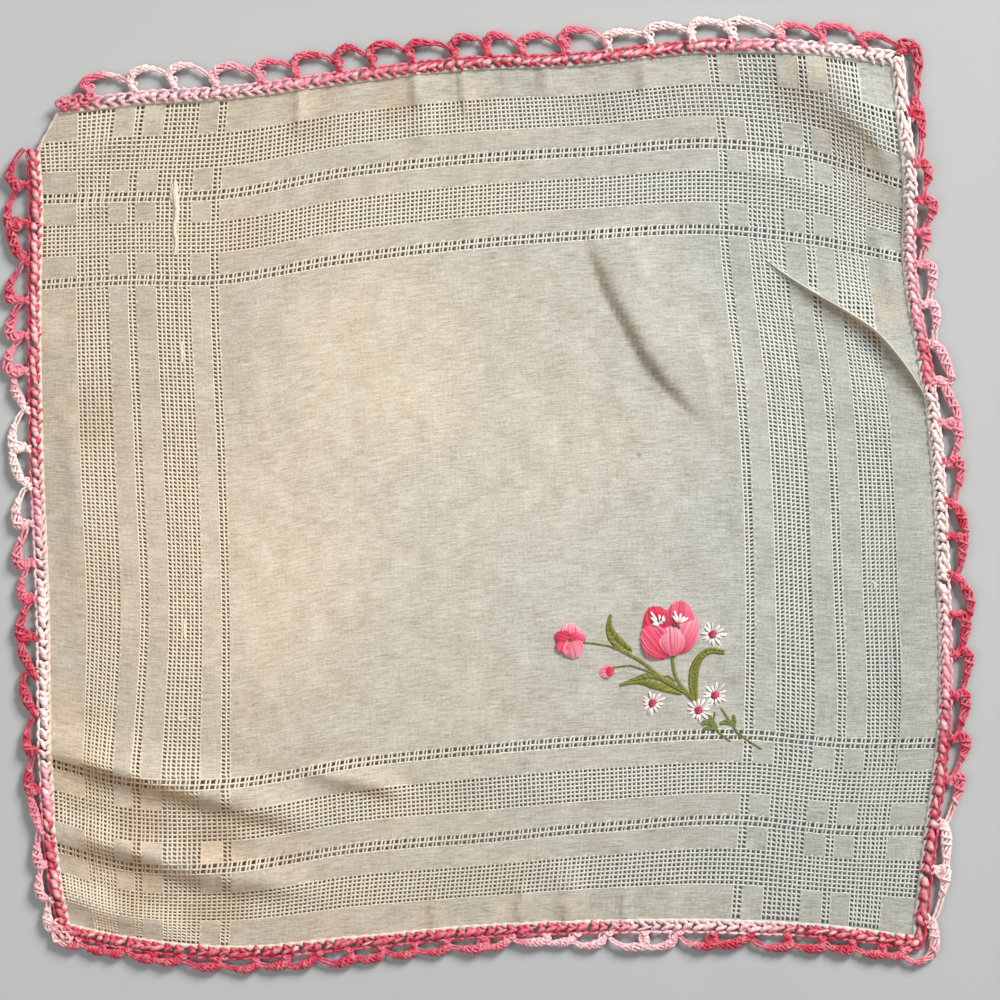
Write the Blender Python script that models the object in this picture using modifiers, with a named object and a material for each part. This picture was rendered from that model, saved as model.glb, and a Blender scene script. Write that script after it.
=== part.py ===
"""A hemmed linen handkerchief with a crocheted edging, laid out on a flat surface.

Three pieces: the linen square, whose upper left corner is folded under, the crocheted heading
worked over its hem, and the outer round of crocheted loops. Metres, +Z up, origin at the bottom
centre of the whole. The tables are in millimetres.
"""
import math

import bmesh
import bpy
import numpy as np

MM = 0.001

# The linen, as it was cut and hemmed
CLOTH_WIDTH = 277.4
CLOTH_DEPTH = 266.8
CLOTH_CELLS = (32, 30)
SHEET_THICKNESS = 1.0

# The crochet: a close heading and a round of loops outside it
GAP = 0.5
HEADING_WIDTH = 3.0
HEADING_THICKNESS = 1.5
HEADING_STEP = 5.6
CORNER_STEPS = 3
LOOP_PITCH = 12.7
LOOP_THICKNESS = 1.5
LOOP_CORD = 2.2

# The whole is centred on the origin by this shift
CENTRE_SHIFT = (0.93, -0.51)

# How far each woven line lies from its place in the flat, square cloth.
# Stations across the cloth run from left to right, and stations up it from bottom to top.
ACROSS = (-138.7, -107.35, -81.1, -40.0, 0.0, 40.0, 81.1, 107.35, 138.7)
LINES_ACROSS = (
    # flat height, shift up at each station across
    (-133.4, (0.5, -4.0, -6.5, -3.5, 0.0, 1.5, 1.5, 0.0, -3.5)),      # bottom edge
    (-118.4, (-2.0, -8.0, -8.5, -3.5, -0.5, 2.5, 4.0, 1.5, 0.0)),     # lowest wide stripe
    (-78.2, (-4.0, -10.0, -10.5, -4.0, 0.0, 3.0, 4.5, 2.0, 2.0)),     # lower inner narrow stripe
    (78.2, (-12.5, -11.0, -11.0, -4.5, 0.0, 3.0, 4.5, 1.5, -4.5)),    # upper inner narrow stripe
    (118.4, (-13.5, -12.0, -11.0, -4.5, -0.5, 1.5, 4.5, 2.0, -7.0)),  # uppermost wide stripe
    (133.4, (-15.3, -11.0, -9.5, -4.5, -0.5, 1.0, 5.0, 4.5, 1.5)),    # top edge
)
UP = (-133.4, -105.0, -78.2, -26.0, 26.0, 78.2, 105.0, 133.4)
LINES_UP = (
    # flat distance across, shift to the right at each station up
    (-138.7, (7.5, 3.5, 2.0, 1.0, -1.0, -1.5, -1.0, -2.8)),           # left edge
    (-107.35, (-1.5, -2.0, -2.5, 0.0, -2.0, -4.0, -4.0, -1.0)),       # outer left narrow stripe
    (-81.1, (-1.5, -0.5, -1.0, -1.0, -2.5, -4.5, -4.0, -1.5)),        # inner left narrow stripe
    (81.1, (-5.5, -3.0, -1.5, -1.0, -3.5, -9.0, -9.5, -13.0)),        # inner right narrow stripe
    (107.35, (-4.0, -2.0, 1.0, 0.0, -2.5, -8.5, -9.0, -11.5)),        # outer right narrow stripe
    (138.7, (-7.5, -3.5, 0.0, 0.0, -3.0, -10.5, -10.5, -14.0)),       # right edge
)

# Soft folds: a path along the crest, its height, and how far it spreads to the left and the right
# of the path's direction.
FOLDS = (
    # path, height, spread left, spread right
    (((29.6, 80.1), (38.0, 60.0), (48.2, 43.9), (56.0, 32.7), (65.3, 21.2)), 3.2, 11.0, 3.2),
    (((87.0, 73.0), (99.4, 63.7), (111.8, 55.3), (122.6, 46.0), (131.9, 34.6), (144.0, 17.0)),
     2.6, 5.5, 3.6),
    (((79.2, 142.0), (102.5, 130.0), (128.8, 107.0), (135.0, 80.0)), 3.0, 8.0, 11.0),
    (((-146.0, -75.0), (-108.3, -86.3), (-85.1, -92.5), (-49.4, -100.6)), 2.3, 7.0, 5.0),
    (((-143.0, -102.0), (-108.3, -109.9), (-86.6, -116.1), (-50.0, -121.4)), 2.3, 5.0, 6.0),
    (((-143.0, -118.0), (-117.6, -127.6), (-92.0, -134.5)), 1.8, 4.0, 5.0),
    (((-142.0, 98.0), (-128.5, 105.5), (-116.1, 110.2), (-102.0, 120.0)), 1.6, 5.0, 5.0),
    (((-131.0, 55.0), (-127.0, 0.0), (-128.0, -50.0)), 0.9, 9.0, 9.0),
    (((-58.8, -84.2), (-42.0, -87.0), (-24.0, -91.5)), 1.3, 4.5, 3.5),
    (((130.0, 15.0), (133.0, -30.0), (130.0, -82.0)), 0.9, 9.0, 9.0),
    (((-20.0, 132.0), (-21.0, 108.0)), 1.2, 4.5, 4.5),
    (((25.0, -134.0), (24.0, -112.0)), 1.2, 4.5, 4.5),
)
FOLD_FLOOR = 0.12

# The corner folded under: two points on the fold, the roll's inner radius and how far the lift
# that it gives reaches into the cloth.
FOLD_LINE = ((-134.1, 117.3), (-140.0, 106.5))
ROLL_RADIUS = 0.4
ROLL_CUTS = 4
LIFT_FLAT = 8.0
LIFT_REACH = 24.0

# How far the outer round reaches past the heading, along each side.
REACH = {
    # side: reach at even stations from the start of the side to its end
    "top": (7.5, 7.5, 7.0, 6.5, 6.5, 7.0),
    "right": (5.5, 5.0, 6.0, 6.0, 6.5, 5.0),
    "bottom": (3.5, 5.0, 5.5, 4.0, 5.0, 5.0, 2.5, 4.0),
    "left": (4.5, 5.5, 6.0, 6.0, 6.5, 6.0, 7.5),
}

# One loop: how far along its pitch each section is, and how high its outer and inner edges stand
# there, as a part of the reach.
LOOP_SECTIONS = (
    # along, outer, inner
    (0.00, 0.00, 0.00),
    (0.14, 0.30, 0.00),
    (0.34, 0.92, 0.90),
    (0.50, 1.00, 1.00),
    (0.66, 0.92, 0.90),
    (0.86, 0.30, 0.00),
)


def smooth(stations, values, at):
    """Smooth curves through rows of values at rising stations, level past both ends."""
    stations = np.asarray(stations, float)
    at = np.asarray(at, float)
    rows = np.asarray(values, float).reshape(len(stations), -1)
    rows = np.broadcast_to(rows, (len(stations), at.size))
    slopes = np.gradient(rows, stations, axis=0)
    low = np.clip(np.searchsorted(stations, at) - 1, 0, len(stations) - 2)
    point = np.arange(at.size)
    step = stations[low + 1] - stations[low]
    t = np.clip((at - stations[low]) / step, 0.0, 1.0)
    start, end = rows[low, point], rows[low + 1, point]
    slope_in, slope_out = slopes[low, point] * step, slopes[low + 1, point] * step
    return (start * (1 + 2 * t) * (1 - t) ** 2 + end * (3 - 2 * t) * t ** 2
            + slope_in * t * (1 - t) ** 2 - slope_out * (1 - t) * t ** 2)


def lie(across, up):
    """Where points of the flat cloth lie, in plan."""
    row_shifts = [smooth(ACROSS, shifts, across) for _, shifts in LINES_ACROSS]
    column_shifts = [smooth(UP, shifts, up) for _, shifts in LINES_UP]
    shift_up = smooth([height for height, _ in LINES_ACROSS], row_shifts, up)
    shift_right = smooth([place for place, _ in LINES_UP], column_shifts, across)
    return across + shift_right, up + shift_up


def fold_height(x, y, path, height, spread_left, spread_right):
    """Height of one soft fold over points in plan."""
    path = np.asarray(path, float)
    legs = np.diff(path, axis=0)
    lengths = np.hypot(legs[:, 0], legs[:, 1])
    before = np.concatenate(([0.0], np.cumsum(lengths)))
    nearest = np.full(x.size, np.inf)
    along = np.zeros(x.size)
    side = np.ones(x.size)
    for start, leg, length, passed in zip(path, legs, lengths, before):
        offset_x, offset_y = x - start[0], y - start[1]
        t = np.clip((offset_x * leg[0] + offset_y * leg[1]) / length ** 2, 0.0, 1.0)
        away = np.hypot(offset_x - t * leg[0], offset_y - t * leg[1])
        closer = away < nearest
        nearest = np.where(closer, away, nearest)
        along = np.where(closer, (passed + t * length) / before[-1], along)
        side = np.where(closer, np.sign(leg[0] * offset_y - leg[1] * offset_x), side)
    spread = np.where(side > 0, spread_left, spread_right)
    taper = 1.0 - np.abs(2.0 * along - 1.0) ** 3
    return height * taper * np.exp(-(nearest / spread) ** 2)


def past_fold(x, y):
    """Distance of points in plan past the line on which the corner is folded under."""
    (x0, y0), (x1, y1) = FOLD_LINE
    length = math.hypot(x1 - x0, y1 - y0)
    return ((x - x0) * (y1 - y0) - (y - y0) * (x1 - x0)) / length


def surface_height(x, y):
    """Height of the cloth's underside over points in plan."""
    folds = sum(fold_height(x, y, *fold) for fold in FOLDS)
    inwards = np.clip((-past_fold(x, y) - LIFT_FLAT) / (LIFT_REACH - LIFT_FLAT), 0.0, 1.0)
    middle = (np.array(FOLD_LINE[0]) + np.array(FOLD_LINE[1])) / 2.0
    beside = np.clip((np.hypot(x - middle[0], y - middle[1]) - LIFT_FLAT)
                     / (LIFT_REACH - LIFT_FLAT), 0.0, 1.0)
    fade = np.maximum(inwards, beside)
    lift = (1.0 - fade * fade * (3.0 - 2.0 * fade)) * (SHEET_THICKNESS + 2.0 * ROLL_RADIUS)
    near_fold = 1.0 - lift / (SHEET_THICKNESS + 2.0 * ROLL_RADIUS)
    return np.maximum(folds - FOLD_FLOOR, 0.0) * near_fold + lift


def roll_under(x, y, z):
    """Wrap what lies past the fold line round the roll and back beneath the cloth."""
    (x0, y0), (x1, y1) = FOLD_LINE
    length = math.hypot(x1 - x0, y1 - y0)
    normal = ((y1 - y0) / length, -(x1 - x0) / length)
    past = past_fold(x, y)
    quarter = np.clip(past / ROLL_RADIUS, 0.0, math.pi)
    flat_past = np.maximum(past - math.pi * ROLL_RADIUS, 0.0)
    reach = ROLL_RADIUS * np.sin(quarter) - flat_past
    moved = np.where(past > 0, reach - past, 0.0)
    drop = np.where(past > 0, ROLL_RADIUS * (1.0 - np.cos(quarter)), 0.0)
    return x + normal[0] * moved, y + normal[1] * moved, z - drop


def set_points(mesh, x, y, z):
    """Put a bmesh's points at millimetre coordinates."""
    mesh.verts.ensure_lookup_table()
    for index, vert in enumerate(mesh.verts):
        vert.co = ((x[index] + CENTRE_SHIFT[0]) * MM, (y[index] + CENTRE_SHIFT[1]) * MM, z[index] * MM)


def points_of(mesh):
    """A bmesh's points as two rows of plan coordinates."""
    return np.array([(vert.co.x, vert.co.y) for vert in mesh.verts]).T


def cut_along_fold(mesh):
    """Cut the sheet along the fold line and along the bends of the roll."""
    (x0, y0), (x1, y1) = FOLD_LINE
    length = math.hypot(x1 - x0, y1 - y0)
    normal = ((y1 - y0) / length, -(x1 - x0) / length, 0.0)
    for cut in range(ROLL_CUTS + 1):
        away = math.pi * ROLL_RADIUS * cut / ROLL_CUTS
        point = (x0 + normal[0] * away, y0 + normal[1] * away, 0.0)
        geometry = mesh.verts[:] + mesh.edges[:] + mesh.faces[:]
        bmesh.ops.bisect_plane(mesh, geom=geometry, dist=0.0001, plane_co=point, plane_no=normal)


def add_object(mesh, name, thickness, material, collection):
    """Make an object from an open bmesh sheet, thickened upwards."""
    data = bpy.data.meshes.new(name)
    mesh.to_mesh(data)
    mesh.free()
    data.materials.append(material)
    piece = bpy.data.objects.new(name, data)
    collection.objects.link(piece)
    solid = piece.modifiers.new("thickness", "SOLIDIFY")
    solid.thickness = thickness * MM
    solid.offset = 1.0
    return piece


def linen_square(material, collection):
    """The linen, with its hem: one sheet on its folds, with one corner turned under."""
    mesh = bmesh.new()
    bmesh.ops.create_grid(mesh, x_segments=CLOTH_CELLS[0], y_segments=CLOTH_CELLS[1], size=0.5)
    across, up = points_of(mesh)
    x, y = lie(across * CLOTH_WIDTH, up * CLOTH_DEPTH)
    for vert, right, away in zip(mesh.verts, x, y):
        vert.co = (right, away, 0.0)
    cut_along_fold(mesh)
    x, y = points_of(mesh)
    set_points(mesh, *roll_under(x, y, surface_height(x, y)))
    return add_object(mesh, "linen_square", SHEET_THICKNESS, material, collection)


def edge_sides(offset):
    """The straight sides and round corners of a line that runs outside the hem.

    It goes round with the clock from the top end of the folded corner to its left end.
    """
    half_width, half_depth = CLOTH_WIDTH / 2.0, CLOTH_DEPTH / 2.0
    top_start = -half_width + 7.5
    left_end = half_depth - 12.0
    quarter = math.pi / 2.0 * offset
    return (
        # side, start, outward direction as an angle, length
        ("top", (top_start, half_depth), math.pi / 2.0, half_width - top_start),
        ("corner", (half_width, half_depth), math.pi / 2.0, quarter),
        ("right", (half_width, half_depth), 0.0, CLOTH_DEPTH),
        ("corner", (half_width, -half_depth), 0.0, quarter),
        ("bottom", (half_width, -half_depth), -math.pi / 2.0, CLOTH_WIDTH),
        ("corner", (-half_width, -half_depth), -math.pi / 2.0, quarter),
        ("left", (-half_width, -half_depth), -math.pi, left_end + half_depth),
    )


def edge_length(offset):
    """Length of the line that runs outside the hem."""
    return sum(length for *_, length in edge_sides(offset))


def edge_steps(offset, step):
    """Distances round the edge, even along each side, with every corner's ends among them."""
    distances = [0.0]
    for side, _, _, length in edge_sides(offset):
        count = CORNER_STEPS if side == "corner" else round(length / step)
        start = distances[-1]
        distances += [start + length * (number + 1) / count for number in range(count)]
    return distances


def edge_place(travelled, offset, outwards):
    """Place in the flat, outwards from the hem, and the reach there, after a way round the edge."""
    last_side = "top"
    sides = edge_sides(offset)
    for number, (side, start, angle, length) in enumerate(sides):
        if travelled <= length or number == len(sides) - 1:
            break
        travelled -= length
        last_side = side if side != "corner" else last_side
    if side == "corner":
        angle -= travelled / offset
        place = (start[0] + outwards * math.cos(angle), start[1] + outwards * math.sin(angle))
        return place, REACH[last_side][-1]
    along = (math.sin(angle), -math.cos(angle))
    place = (start[0] + travelled * along[0] + outwards * math.cos(angle),
             start[1] + travelled * along[1] + outwards * math.sin(angle))
    part = min(max(travelled / length, 0.0), 1.0) * (len(REACH[side]) - 1)
    return place, float(np.interp(part, range(len(REACH[side])), REACH[side]))


def edging_strip(name, rows, thickness, material, collection):
    """A strip along the edge, from rows of its inner and outer places in the flat."""
    mesh = bmesh.new()
    bmesh.ops.create_grid(mesh, x_segments=1, y_segments=len(rows) - 1, size=0.5)
    mesh.verts.ensure_lookup_table()
    flat = np.zeros((len(mesh.verts), 2))
    for index, vert in enumerate(mesh.verts):
        row = rows[round((0.5 - vert.co.y) * (len(rows) - 1))]
        flat[index] = row[0] if vert.co.x < 0 else row[1]
    x, y = lie(flat[:, 0], flat[:, 1])
    set_points(mesh, x, y, surface_height(x, y))
    bmesh.ops.recalc_face_normals(mesh, faces=mesh.faces)
    if mesh.faces[:][0].normal.z < 0:
        bmesh.ops.reverse_faces(mesh, faces=mesh.faces)
    return add_object(mesh, name, thickness, material, collection)


def crochet_heading(material, collection):
    """The close round of stitches worked over the hem."""
    inner, outer = GAP, GAP + HEADING_WIDTH
    middle = (inner + outer) / 2.0
    rows = [(edge_place(travelled, middle, inner)[0], edge_place(travelled, middle, outer)[0])
            for travelled in edge_steps(middle, HEADING_STEP)]
    return edging_strip("crochet_heading", rows, HEADING_THICKNESS, material, collection)


def crochet_loops(material, collection):
    """The outer round: a strip of arches that stands off the heading between its knots."""
    base = GAP + HEADING_WIDTH + GAP
    length = edge_length(base)
    loops = round(length / LOOP_PITCH)
    rows = []
    for loop in range(loops):
        for along, outer_part, inner_part in LOOP_SECTIONS:
            travelled = length * (loop + along) / loops
            _, reach = edge_place(travelled, base, base)
            inner = base + inner_part * (reach - LOOP_CORD)
            outer = base + LOOP_CORD + outer_part * (reach - LOOP_CORD)
            rows.append((edge_place(travelled, base, inner)[0], edge_place(travelled, base, outer)[0]))
    rows.append((edge_place(length, base, base)[0], edge_place(length, base, base + LOOP_CORD)[0]))
    return edging_strip("crochet_loops", rows, LOOP_THICKNESS, material, collection)


def make_material(name, colour, roughness):
    """A plain finish in the piece's colour."""
    material = bpy.data.materials.new(name)
    material.use_nodes = True
    shader = material.node_tree.nodes["Principled BSDF"]
    shader.inputs["Base Color"].default_value = (*colour, 1.0)
    shader.inputs["Roughness"].default_value = roughness
    shader.inputs["Metallic"].default_value = 0.0
    return material


def main():
    for piece in list(bpy.data.objects):
        bpy.data.objects.remove(piece)
    collection = bpy.data.collections.new("linen_handkerchief")
    bpy.context.scene.collection.children.link(collection)
    linen_square(make_material("linen", (0.52, 0.48, 0.41), 0.9), collection)
    crochet_heading(make_material("heading_cotton", (0.75, 0.30, 0.36), 0.8), collection)
    crochet_loops(make_material("loop_cotton", (0.66, 0.14, 0.22), 0.8), collection)


main()
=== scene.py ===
"""The looks of a linen handkerchief: woven openwork stripes, an embroidered spray and a crocheted
edging in a variegated pink cotton, laid out on a plain pale table and seen from straight above.

The cloth's own flat coordinates (across, up, in millimetres) carry every pattern. The function
place() puts a flat point on the lying cloth, so that yarns, stitches and panels share one surface.
"""

import math

import bmesh
import bpy
import numpy as np
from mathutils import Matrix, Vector


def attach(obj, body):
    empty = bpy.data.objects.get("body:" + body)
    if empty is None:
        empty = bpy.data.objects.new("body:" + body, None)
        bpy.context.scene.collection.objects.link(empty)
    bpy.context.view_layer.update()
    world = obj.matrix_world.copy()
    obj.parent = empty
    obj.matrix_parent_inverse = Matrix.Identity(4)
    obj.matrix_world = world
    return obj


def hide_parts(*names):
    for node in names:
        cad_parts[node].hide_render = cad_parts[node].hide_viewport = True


MM = 0.001
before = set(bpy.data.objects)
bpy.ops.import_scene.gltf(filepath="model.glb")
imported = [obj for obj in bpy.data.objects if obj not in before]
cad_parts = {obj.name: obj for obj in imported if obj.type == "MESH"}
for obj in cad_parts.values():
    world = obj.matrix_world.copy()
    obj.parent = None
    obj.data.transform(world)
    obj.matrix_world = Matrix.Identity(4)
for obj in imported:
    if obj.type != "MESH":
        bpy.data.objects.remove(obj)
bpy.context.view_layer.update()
rng = np.random.default_rng(1911)

# ------------------------------------------------------------------ the cloth and how it lies

CLOTH_WIDTH = 277.4
CLOTH_DEPTH = 266.8
HEM = 1.3
LINEN_THICKNESS = 0.28
LINEN_LIFT = 0.42
CENTRE_SHIFT = (0.93, -0.51)

# How far each woven line lies from its place in the flat, square cloth (millimetres)
ACROSS = (-138.7, -107.35, -81.1, -40.0, 0.0, 40.0, 81.1, 107.35, 138.7)
LINES_ACROSS = (
    # flat height, shift up at each station across
    (-133.4, (0.5, -4.0, -6.5, -3.5, 0.0, 1.5, 1.5, 0.0, -3.5)),
    (-118.4, (-2.0, -8.0, -8.5, -3.5, -0.5, 2.5, 4.0, 1.5, 0.0)),
    (-78.2, (-4.0, -10.0, -10.5, -4.0, 0.0, 3.0, 4.5, 2.0, 2.0)),
    (78.2, (-12.5, -11.0, -11.0, -4.5, 0.0, 3.0, 4.5, 1.5, -4.5)),
    (118.4, (-13.5, -12.0, -11.0, -4.5, -0.5, 1.5, 4.5, 2.0, -7.0)),
    (133.4, (-15.3, -11.0, -9.5, -4.5, -0.5, 1.0, 5.0, 4.5, 1.5)),
)
UP = (-133.4, -105.0, -78.2, -26.0, 26.0, 78.2, 105.0, 133.4)
LINES_UP = (
    # flat distance across, shift to the right at each station up
    (-138.7, (7.5, 3.5, 2.0, 1.0, -1.0, -1.5, -1.0, -2.8)),
    (-107.35, (-1.5, -2.0, -2.5, 0.0, -2.0, -4.0, -4.0, -1.0)),
    (-81.1, (-1.5, -0.5, -1.0, -1.0, -2.5, -4.5, -4.0, -1.5)),
    (81.1, (-5.5, -3.0, -1.5, -1.0, -3.5, -9.0, -9.5, -13.0)),
    (107.35, (-4.0, -2.0, 1.0, 0.0, -2.5, -8.5, -9.0, -11.5)),
    (138.7, (-7.5, -3.5, 0.0, 0.0, -3.0, -10.5, -10.5, -14.0)),
)

# The pressed pleat near the right edge: its course in plan, and how far off it gathers the cloth
PLEAT = ((85.5, 73.2), (91.7, 68.6), (100.9, 62.7), (110.3, 57.1), (119.0, 51.2), (126.1, 43.3),
         (132.5, 34.2), (136.5, 27.0))
PLEAT_PULL = 0.86
PLEAT_GATHERS = 2.7

# Soft folds: a path along the crest, its height, its spread left and right of the path, and how
# keen it is; a keenness of 0 is a fold whose right side falls straight to a sharp foot
FOLDS = (
    (((33.5, 85.0), (36.7, 74.1), (39.5, 66.1), (44.1, 57.3), (49.4, 46.2), (52.7, 41.2),
      (56.7, 36.2), (61.4, 30.7), (67.5, 24.5)), 2.6, 16.0, (5.6, 2.6), 0.0),
    (PLEAT, (0.8, 2.4), 9.0, 3.0, 1.3),
    (((79.2, 142.0), (102.5, 130.0), (128.8, 107.0), (135.0, 80.0)), 3.0, 8.0, 11.0),
    (((-146.0, -75.0), (-108.3, -86.3), (-85.1, -92.5), (-49.4, -100.6)), 3.3, 7.0, 4.6),
    (((-143.0, -102.0), (-108.3, -109.9), (-86.6, -116.1), (-50.0, -121.4)), 3.0, 5.0, 4.8),
    (((-143.0, -118.0), (-117.6, -127.6), (-92.0, -134.5)), 1.8, 4.0, 5.0),
    (((-142.0, 98.0), (-128.5, 105.5), (-116.1, 110.2), (-102.0, 120.0)), 1.6, 5.0, 5.0),
    (((-131.0, 55.0), (-127.0, 0.0), (-128.0, -50.0)), 0.9, 9.0, 9.0),
    (((-58.8, -84.2), (-42.0, -87.0), (-24.0, -91.5)), 1.3, 4.5, 3.5),
    (((130.0, 15.0), (133.0, -30.0), (130.0, -82.0)), 0.9, 9.0, 9.0),
    (((-20.0, 132.0), (-21.0, 108.0)), 1.2, 4.5, 4.5),
    (((25.0, -134.0), (24.0, -112.0)), 1.2, 4.5, 4.5),
)
FOLD_FLOOR = 0.12
FOOT_ROUNDING = 0.62
END_TAPER = 3

# Narrow creases that only the thin cloth shows: path, height, spread left and right, sharpness
CREASES = (
    (PLEAT, (0.5, 1.2), 2.4, 0.9, 1.0),
    (((40.0, 84.0), (45.5, 71.0), (49.0, 66.0)), 0.5, 1.6, 3.2, 1.4),
    (((64.0, 50.0), (67.0, 38.0), (69.0, 24.0)), 0.7, 2.4, 3.0, 1.5),
    (((-59.0, 130.0), (-60.0, 112.0)), 1.2, 1.8, 1.4, 1.3),
    (((-24.0, 134.0), (-23.0, 120.0)), 1.1, 1.8, 1.2, 1.3),
    (((-9.0, 134.0), (-8.0, 118.0)), 1.2, 1.6, 1.1, 1.3),
    (((16.0, 136.0), (17.0, 124.0)), 0.9, 1.8, 1.4, 1.4),
    (((47.0, 138.0), (47.0, 124.0)), 1.0, 1.8, 1.4, 1.3),
    (((-18.0, -137.0), (-17.0, -122.0)), 1.3, 1.6, 1.2, 1.3),
    (((9.0, -135.0), (10.0, -119.0)), 1.2, 1.6, 1.2, 1.3),
    (((24.0, -135.0), (23.0, -124.0)), 1.0, 1.6, 1.2, 1.3),
    (((41.0, -133.0), (42.0, -120.0)), 1.1, 1.6, 1.2, 1.3),
    (((-59.0, -85.0), (-44.0, -87.0), (-27.0, -90.0)), 1.3, 1.2, 3.5, 1.2),
    (((-134.0, 102.0), (-119.0, 108.5), (-110.0, 113.5)), 0.8, 1.8, 2.6, 1.3),
    (((-136.0, 84.0), (-124.0, 90.0), (-112.0, 92.0)), 0.6, 2.2, 2.2, 1.5),
    (((60.0, 99.0), (74.0, 103.0), (90.0, 99.0), (110.0, 91.0)), 0.6, 4.0, 3.0, 1.5),
    (((105.0, 122.0), (118.0, 112.0), (125.0, 98.0)), 0.8, 3.2, 2.4, 1.4),
    (((118.0, 84.0), (122.0, 74.0), (124.0, 60.0)), 0.7, 3.0, 2.0, 1.4),
    (((-141.0, -78.0), (-124.0, -82.0), (-104.0, -87.5), (-84.0, -93.0)), 0.9, 3.0, 2.4, 1.4),
    (((-138.0, -98.0), (-120.0, -106.0), (-98.0, -113.0)), 0.8, 3.0, 2.4, 1.4),
    (((-66.0, -94.0), (-82.0, -102.0), (-70.0, -109.0)), 0.6, 3.5, 3.0, 1.6),
    (((126.0, -40.0), (128.0, -62.0), (126.0, -84.0)), 0.6, 2.5, 2.0, 1.5),
    (((-131.0, 30.0), (-129.0, 4.0), (-130.0, -24.0)), 0.5, 2.6, 2.0, 1.5),
)

# The corner folded under
FOLD_LINE = ((-134.1, 117.3), (-140.0, 106.5))
CORNER_LIFT = 1.95
ROLL_RADIUS = 0.75
ROLL_CUTS = 8
LIFT_FLAT = 8.0
LIFT_REACH = 24.0

# Low waves in the cloth: their number, shortest and longest length, and height (millimetres)
WAVES = 16
WAVE_LENGTHS = (11.0, 46.0)
WAVE_HEIGHT = 0.34
wave_turn = rng.uniform(0.0, 2.0 * math.pi, WAVES)
wave_phase = rng.uniform(0.0, 2.0 * math.pi, WAVES)
wave_length = np.geomspace(*WAVE_LENGTHS, WAVES)
WAVE_LEVELLING = 0.6


def chance(middle, spread, low, high):
    """A random number about a middle, kept between two bounds."""
    return float(np.clip(rng.normal(middle, spread), low, high))


def add_object(name, data):
    """A new object in the scene."""
    piece = bpy.data.objects.new(name, data)
    bpy.context.scene.collection.objects.link(piece)
    return piece


def worked_mesh(piece):
    """The mesh that an object's modifiers give."""
    graph = bpy.context.evaluated_depsgraph_get()
    return bpy.data.meshes.new_from_object(piece.evaluated_get(graph), preserve_all_data_layers=True,
                                           depsgraph=graph)


def flat_points(across, up):
    """Points of the flat cloth as rows of three numbers."""
    return np.stack((across, up, np.zeros(len(across))), axis=-1)


def lengths_along(points):
    """How far along a line each of its points lies."""
    steps = np.linalg.norm(np.diff(points, axis=0), axis=1)
    return np.concatenate(([0.0], np.cumsum(steps)))


def smooth(stations, values, at):
    """Smooth curves through rows of values at rising stations, level past both ends."""
    stations = np.asarray(stations, float)
    at = np.asarray(at, float)
    rows = np.asarray(values, float).reshape(len(stations), -1)
    rows = np.broadcast_to(rows, (len(stations), at.size))
    slopes = np.gradient(rows, stations, axis=0)
    low = np.clip(np.searchsorted(stations, at) - 1, 0, len(stations) - 2)
    point = np.arange(at.size)
    step = stations[low + 1] - stations[low]
    t = np.clip((at - stations[low]) / step, 0.0, 1.0)
    start, end = rows[low, point], rows[low + 1, point]
    slope_in, slope_out = slopes[low, point] * step, slopes[low + 1, point] * step
    return (start * (1 + 2 * t) * (1 - t) ** 2 + end * (3 - 2 * t) * t ** 2
            + slope_in * t * (1 - t) ** 2 - slope_out * (1 - t) * t ** 2)


def lie(across, up):
    """Where points of the flat cloth lie, in plan."""
    row_shifts = [smooth(ACROSS, shifts, across) for _, shifts in LINES_ACROSS]
    column_shifts = [smooth(UP, shifts, up) for _, shifts in LINES_UP]
    shift_up = smooth([height for height, _ in LINES_ACROSS], row_shifts, up)
    shift_right = smooth([spot for spot, _ in LINES_UP], column_shifts, across)
    x, y = across + shift_right, up + shift_up
    near_x, near_y, nearest, along, _ = along_path(x, y, PLEAT)
    pull = PLEAT_PULL * np.exp(-(nearest / PLEAT_GATHERS) ** 2) * tapering(along)
    return x + (near_x - x) * pull, y + (near_y - y) * pull


def tapering(along):
    """1 in the middle of a fold, falling to 0 at both of its ends."""
    return 1.0 - np.abs(2.0 * along - 1.0) ** END_TAPER


def along_path(x, y, path):
    """Nearest places on a path in plan: where, how far off, how far along, and on which side."""
    path = np.asarray(path, float)
    legs = np.diff(path, axis=0)
    lengths = np.hypot(legs[:, 0], legs[:, 1])
    before = np.concatenate(([0.0], np.cumsum(lengths)))
    nearest = np.full(x.size, np.inf)
    along, side = np.zeros(x.size), np.ones(x.size)
    near_x, near_y = np.zeros(x.size), np.zeros(x.size)
    for start, leg, length, passed in zip(path, legs, lengths, before):
        offset_x, offset_y = x - start[0], y - start[1]
        t = np.clip((offset_x * leg[0] + offset_y * leg[1]) / length ** 2, 0.0, 1.0)
        away = np.hypot(offset_x - t * leg[0], offset_y - t * leg[1])
        closer = away < nearest
        nearest = np.where(closer, away, nearest)
        along = np.where(closer, (passed + t * length) / before[-1], along)
        side = np.where(closer, np.sign(leg[0] * offset_y - leg[1] * offset_x), side)
        near_x = np.where(closer, start[0] + t * leg[0], near_x)
        near_y = np.where(closer, start[1] + t * leg[1], near_y)
    return near_x, near_y, nearest, along, side


def fold_height(x, y, path, height, spread_left, spread_right, keenness=2.0):
    """Height of one fold over points in plan; figures in pairs change from its start to its end."""
    _, _, nearest, along, side = along_path(x, y, path)
    height, spread_left, spread_right = [
        pair[0] + (pair[1] - pair[0]) * along if isinstance(pair, tuple) else pair
        for pair in (height, spread_left, spread_right)]
    if keenness == 0.0:
        foot = np.clip(1.0 - (nearest / spread_right) ** 2, 0.0, 1.0) ** FOOT_ROUNDING
        shape = np.where(side > 0, np.exp(-(nearest / spread_left) ** 2), foot)
    else:
        spread = np.where(side > 0, spread_left, spread_right)
        shape = np.exp(-(nearest / spread) ** keenness)
    return height * tapering(along) * shape


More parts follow.
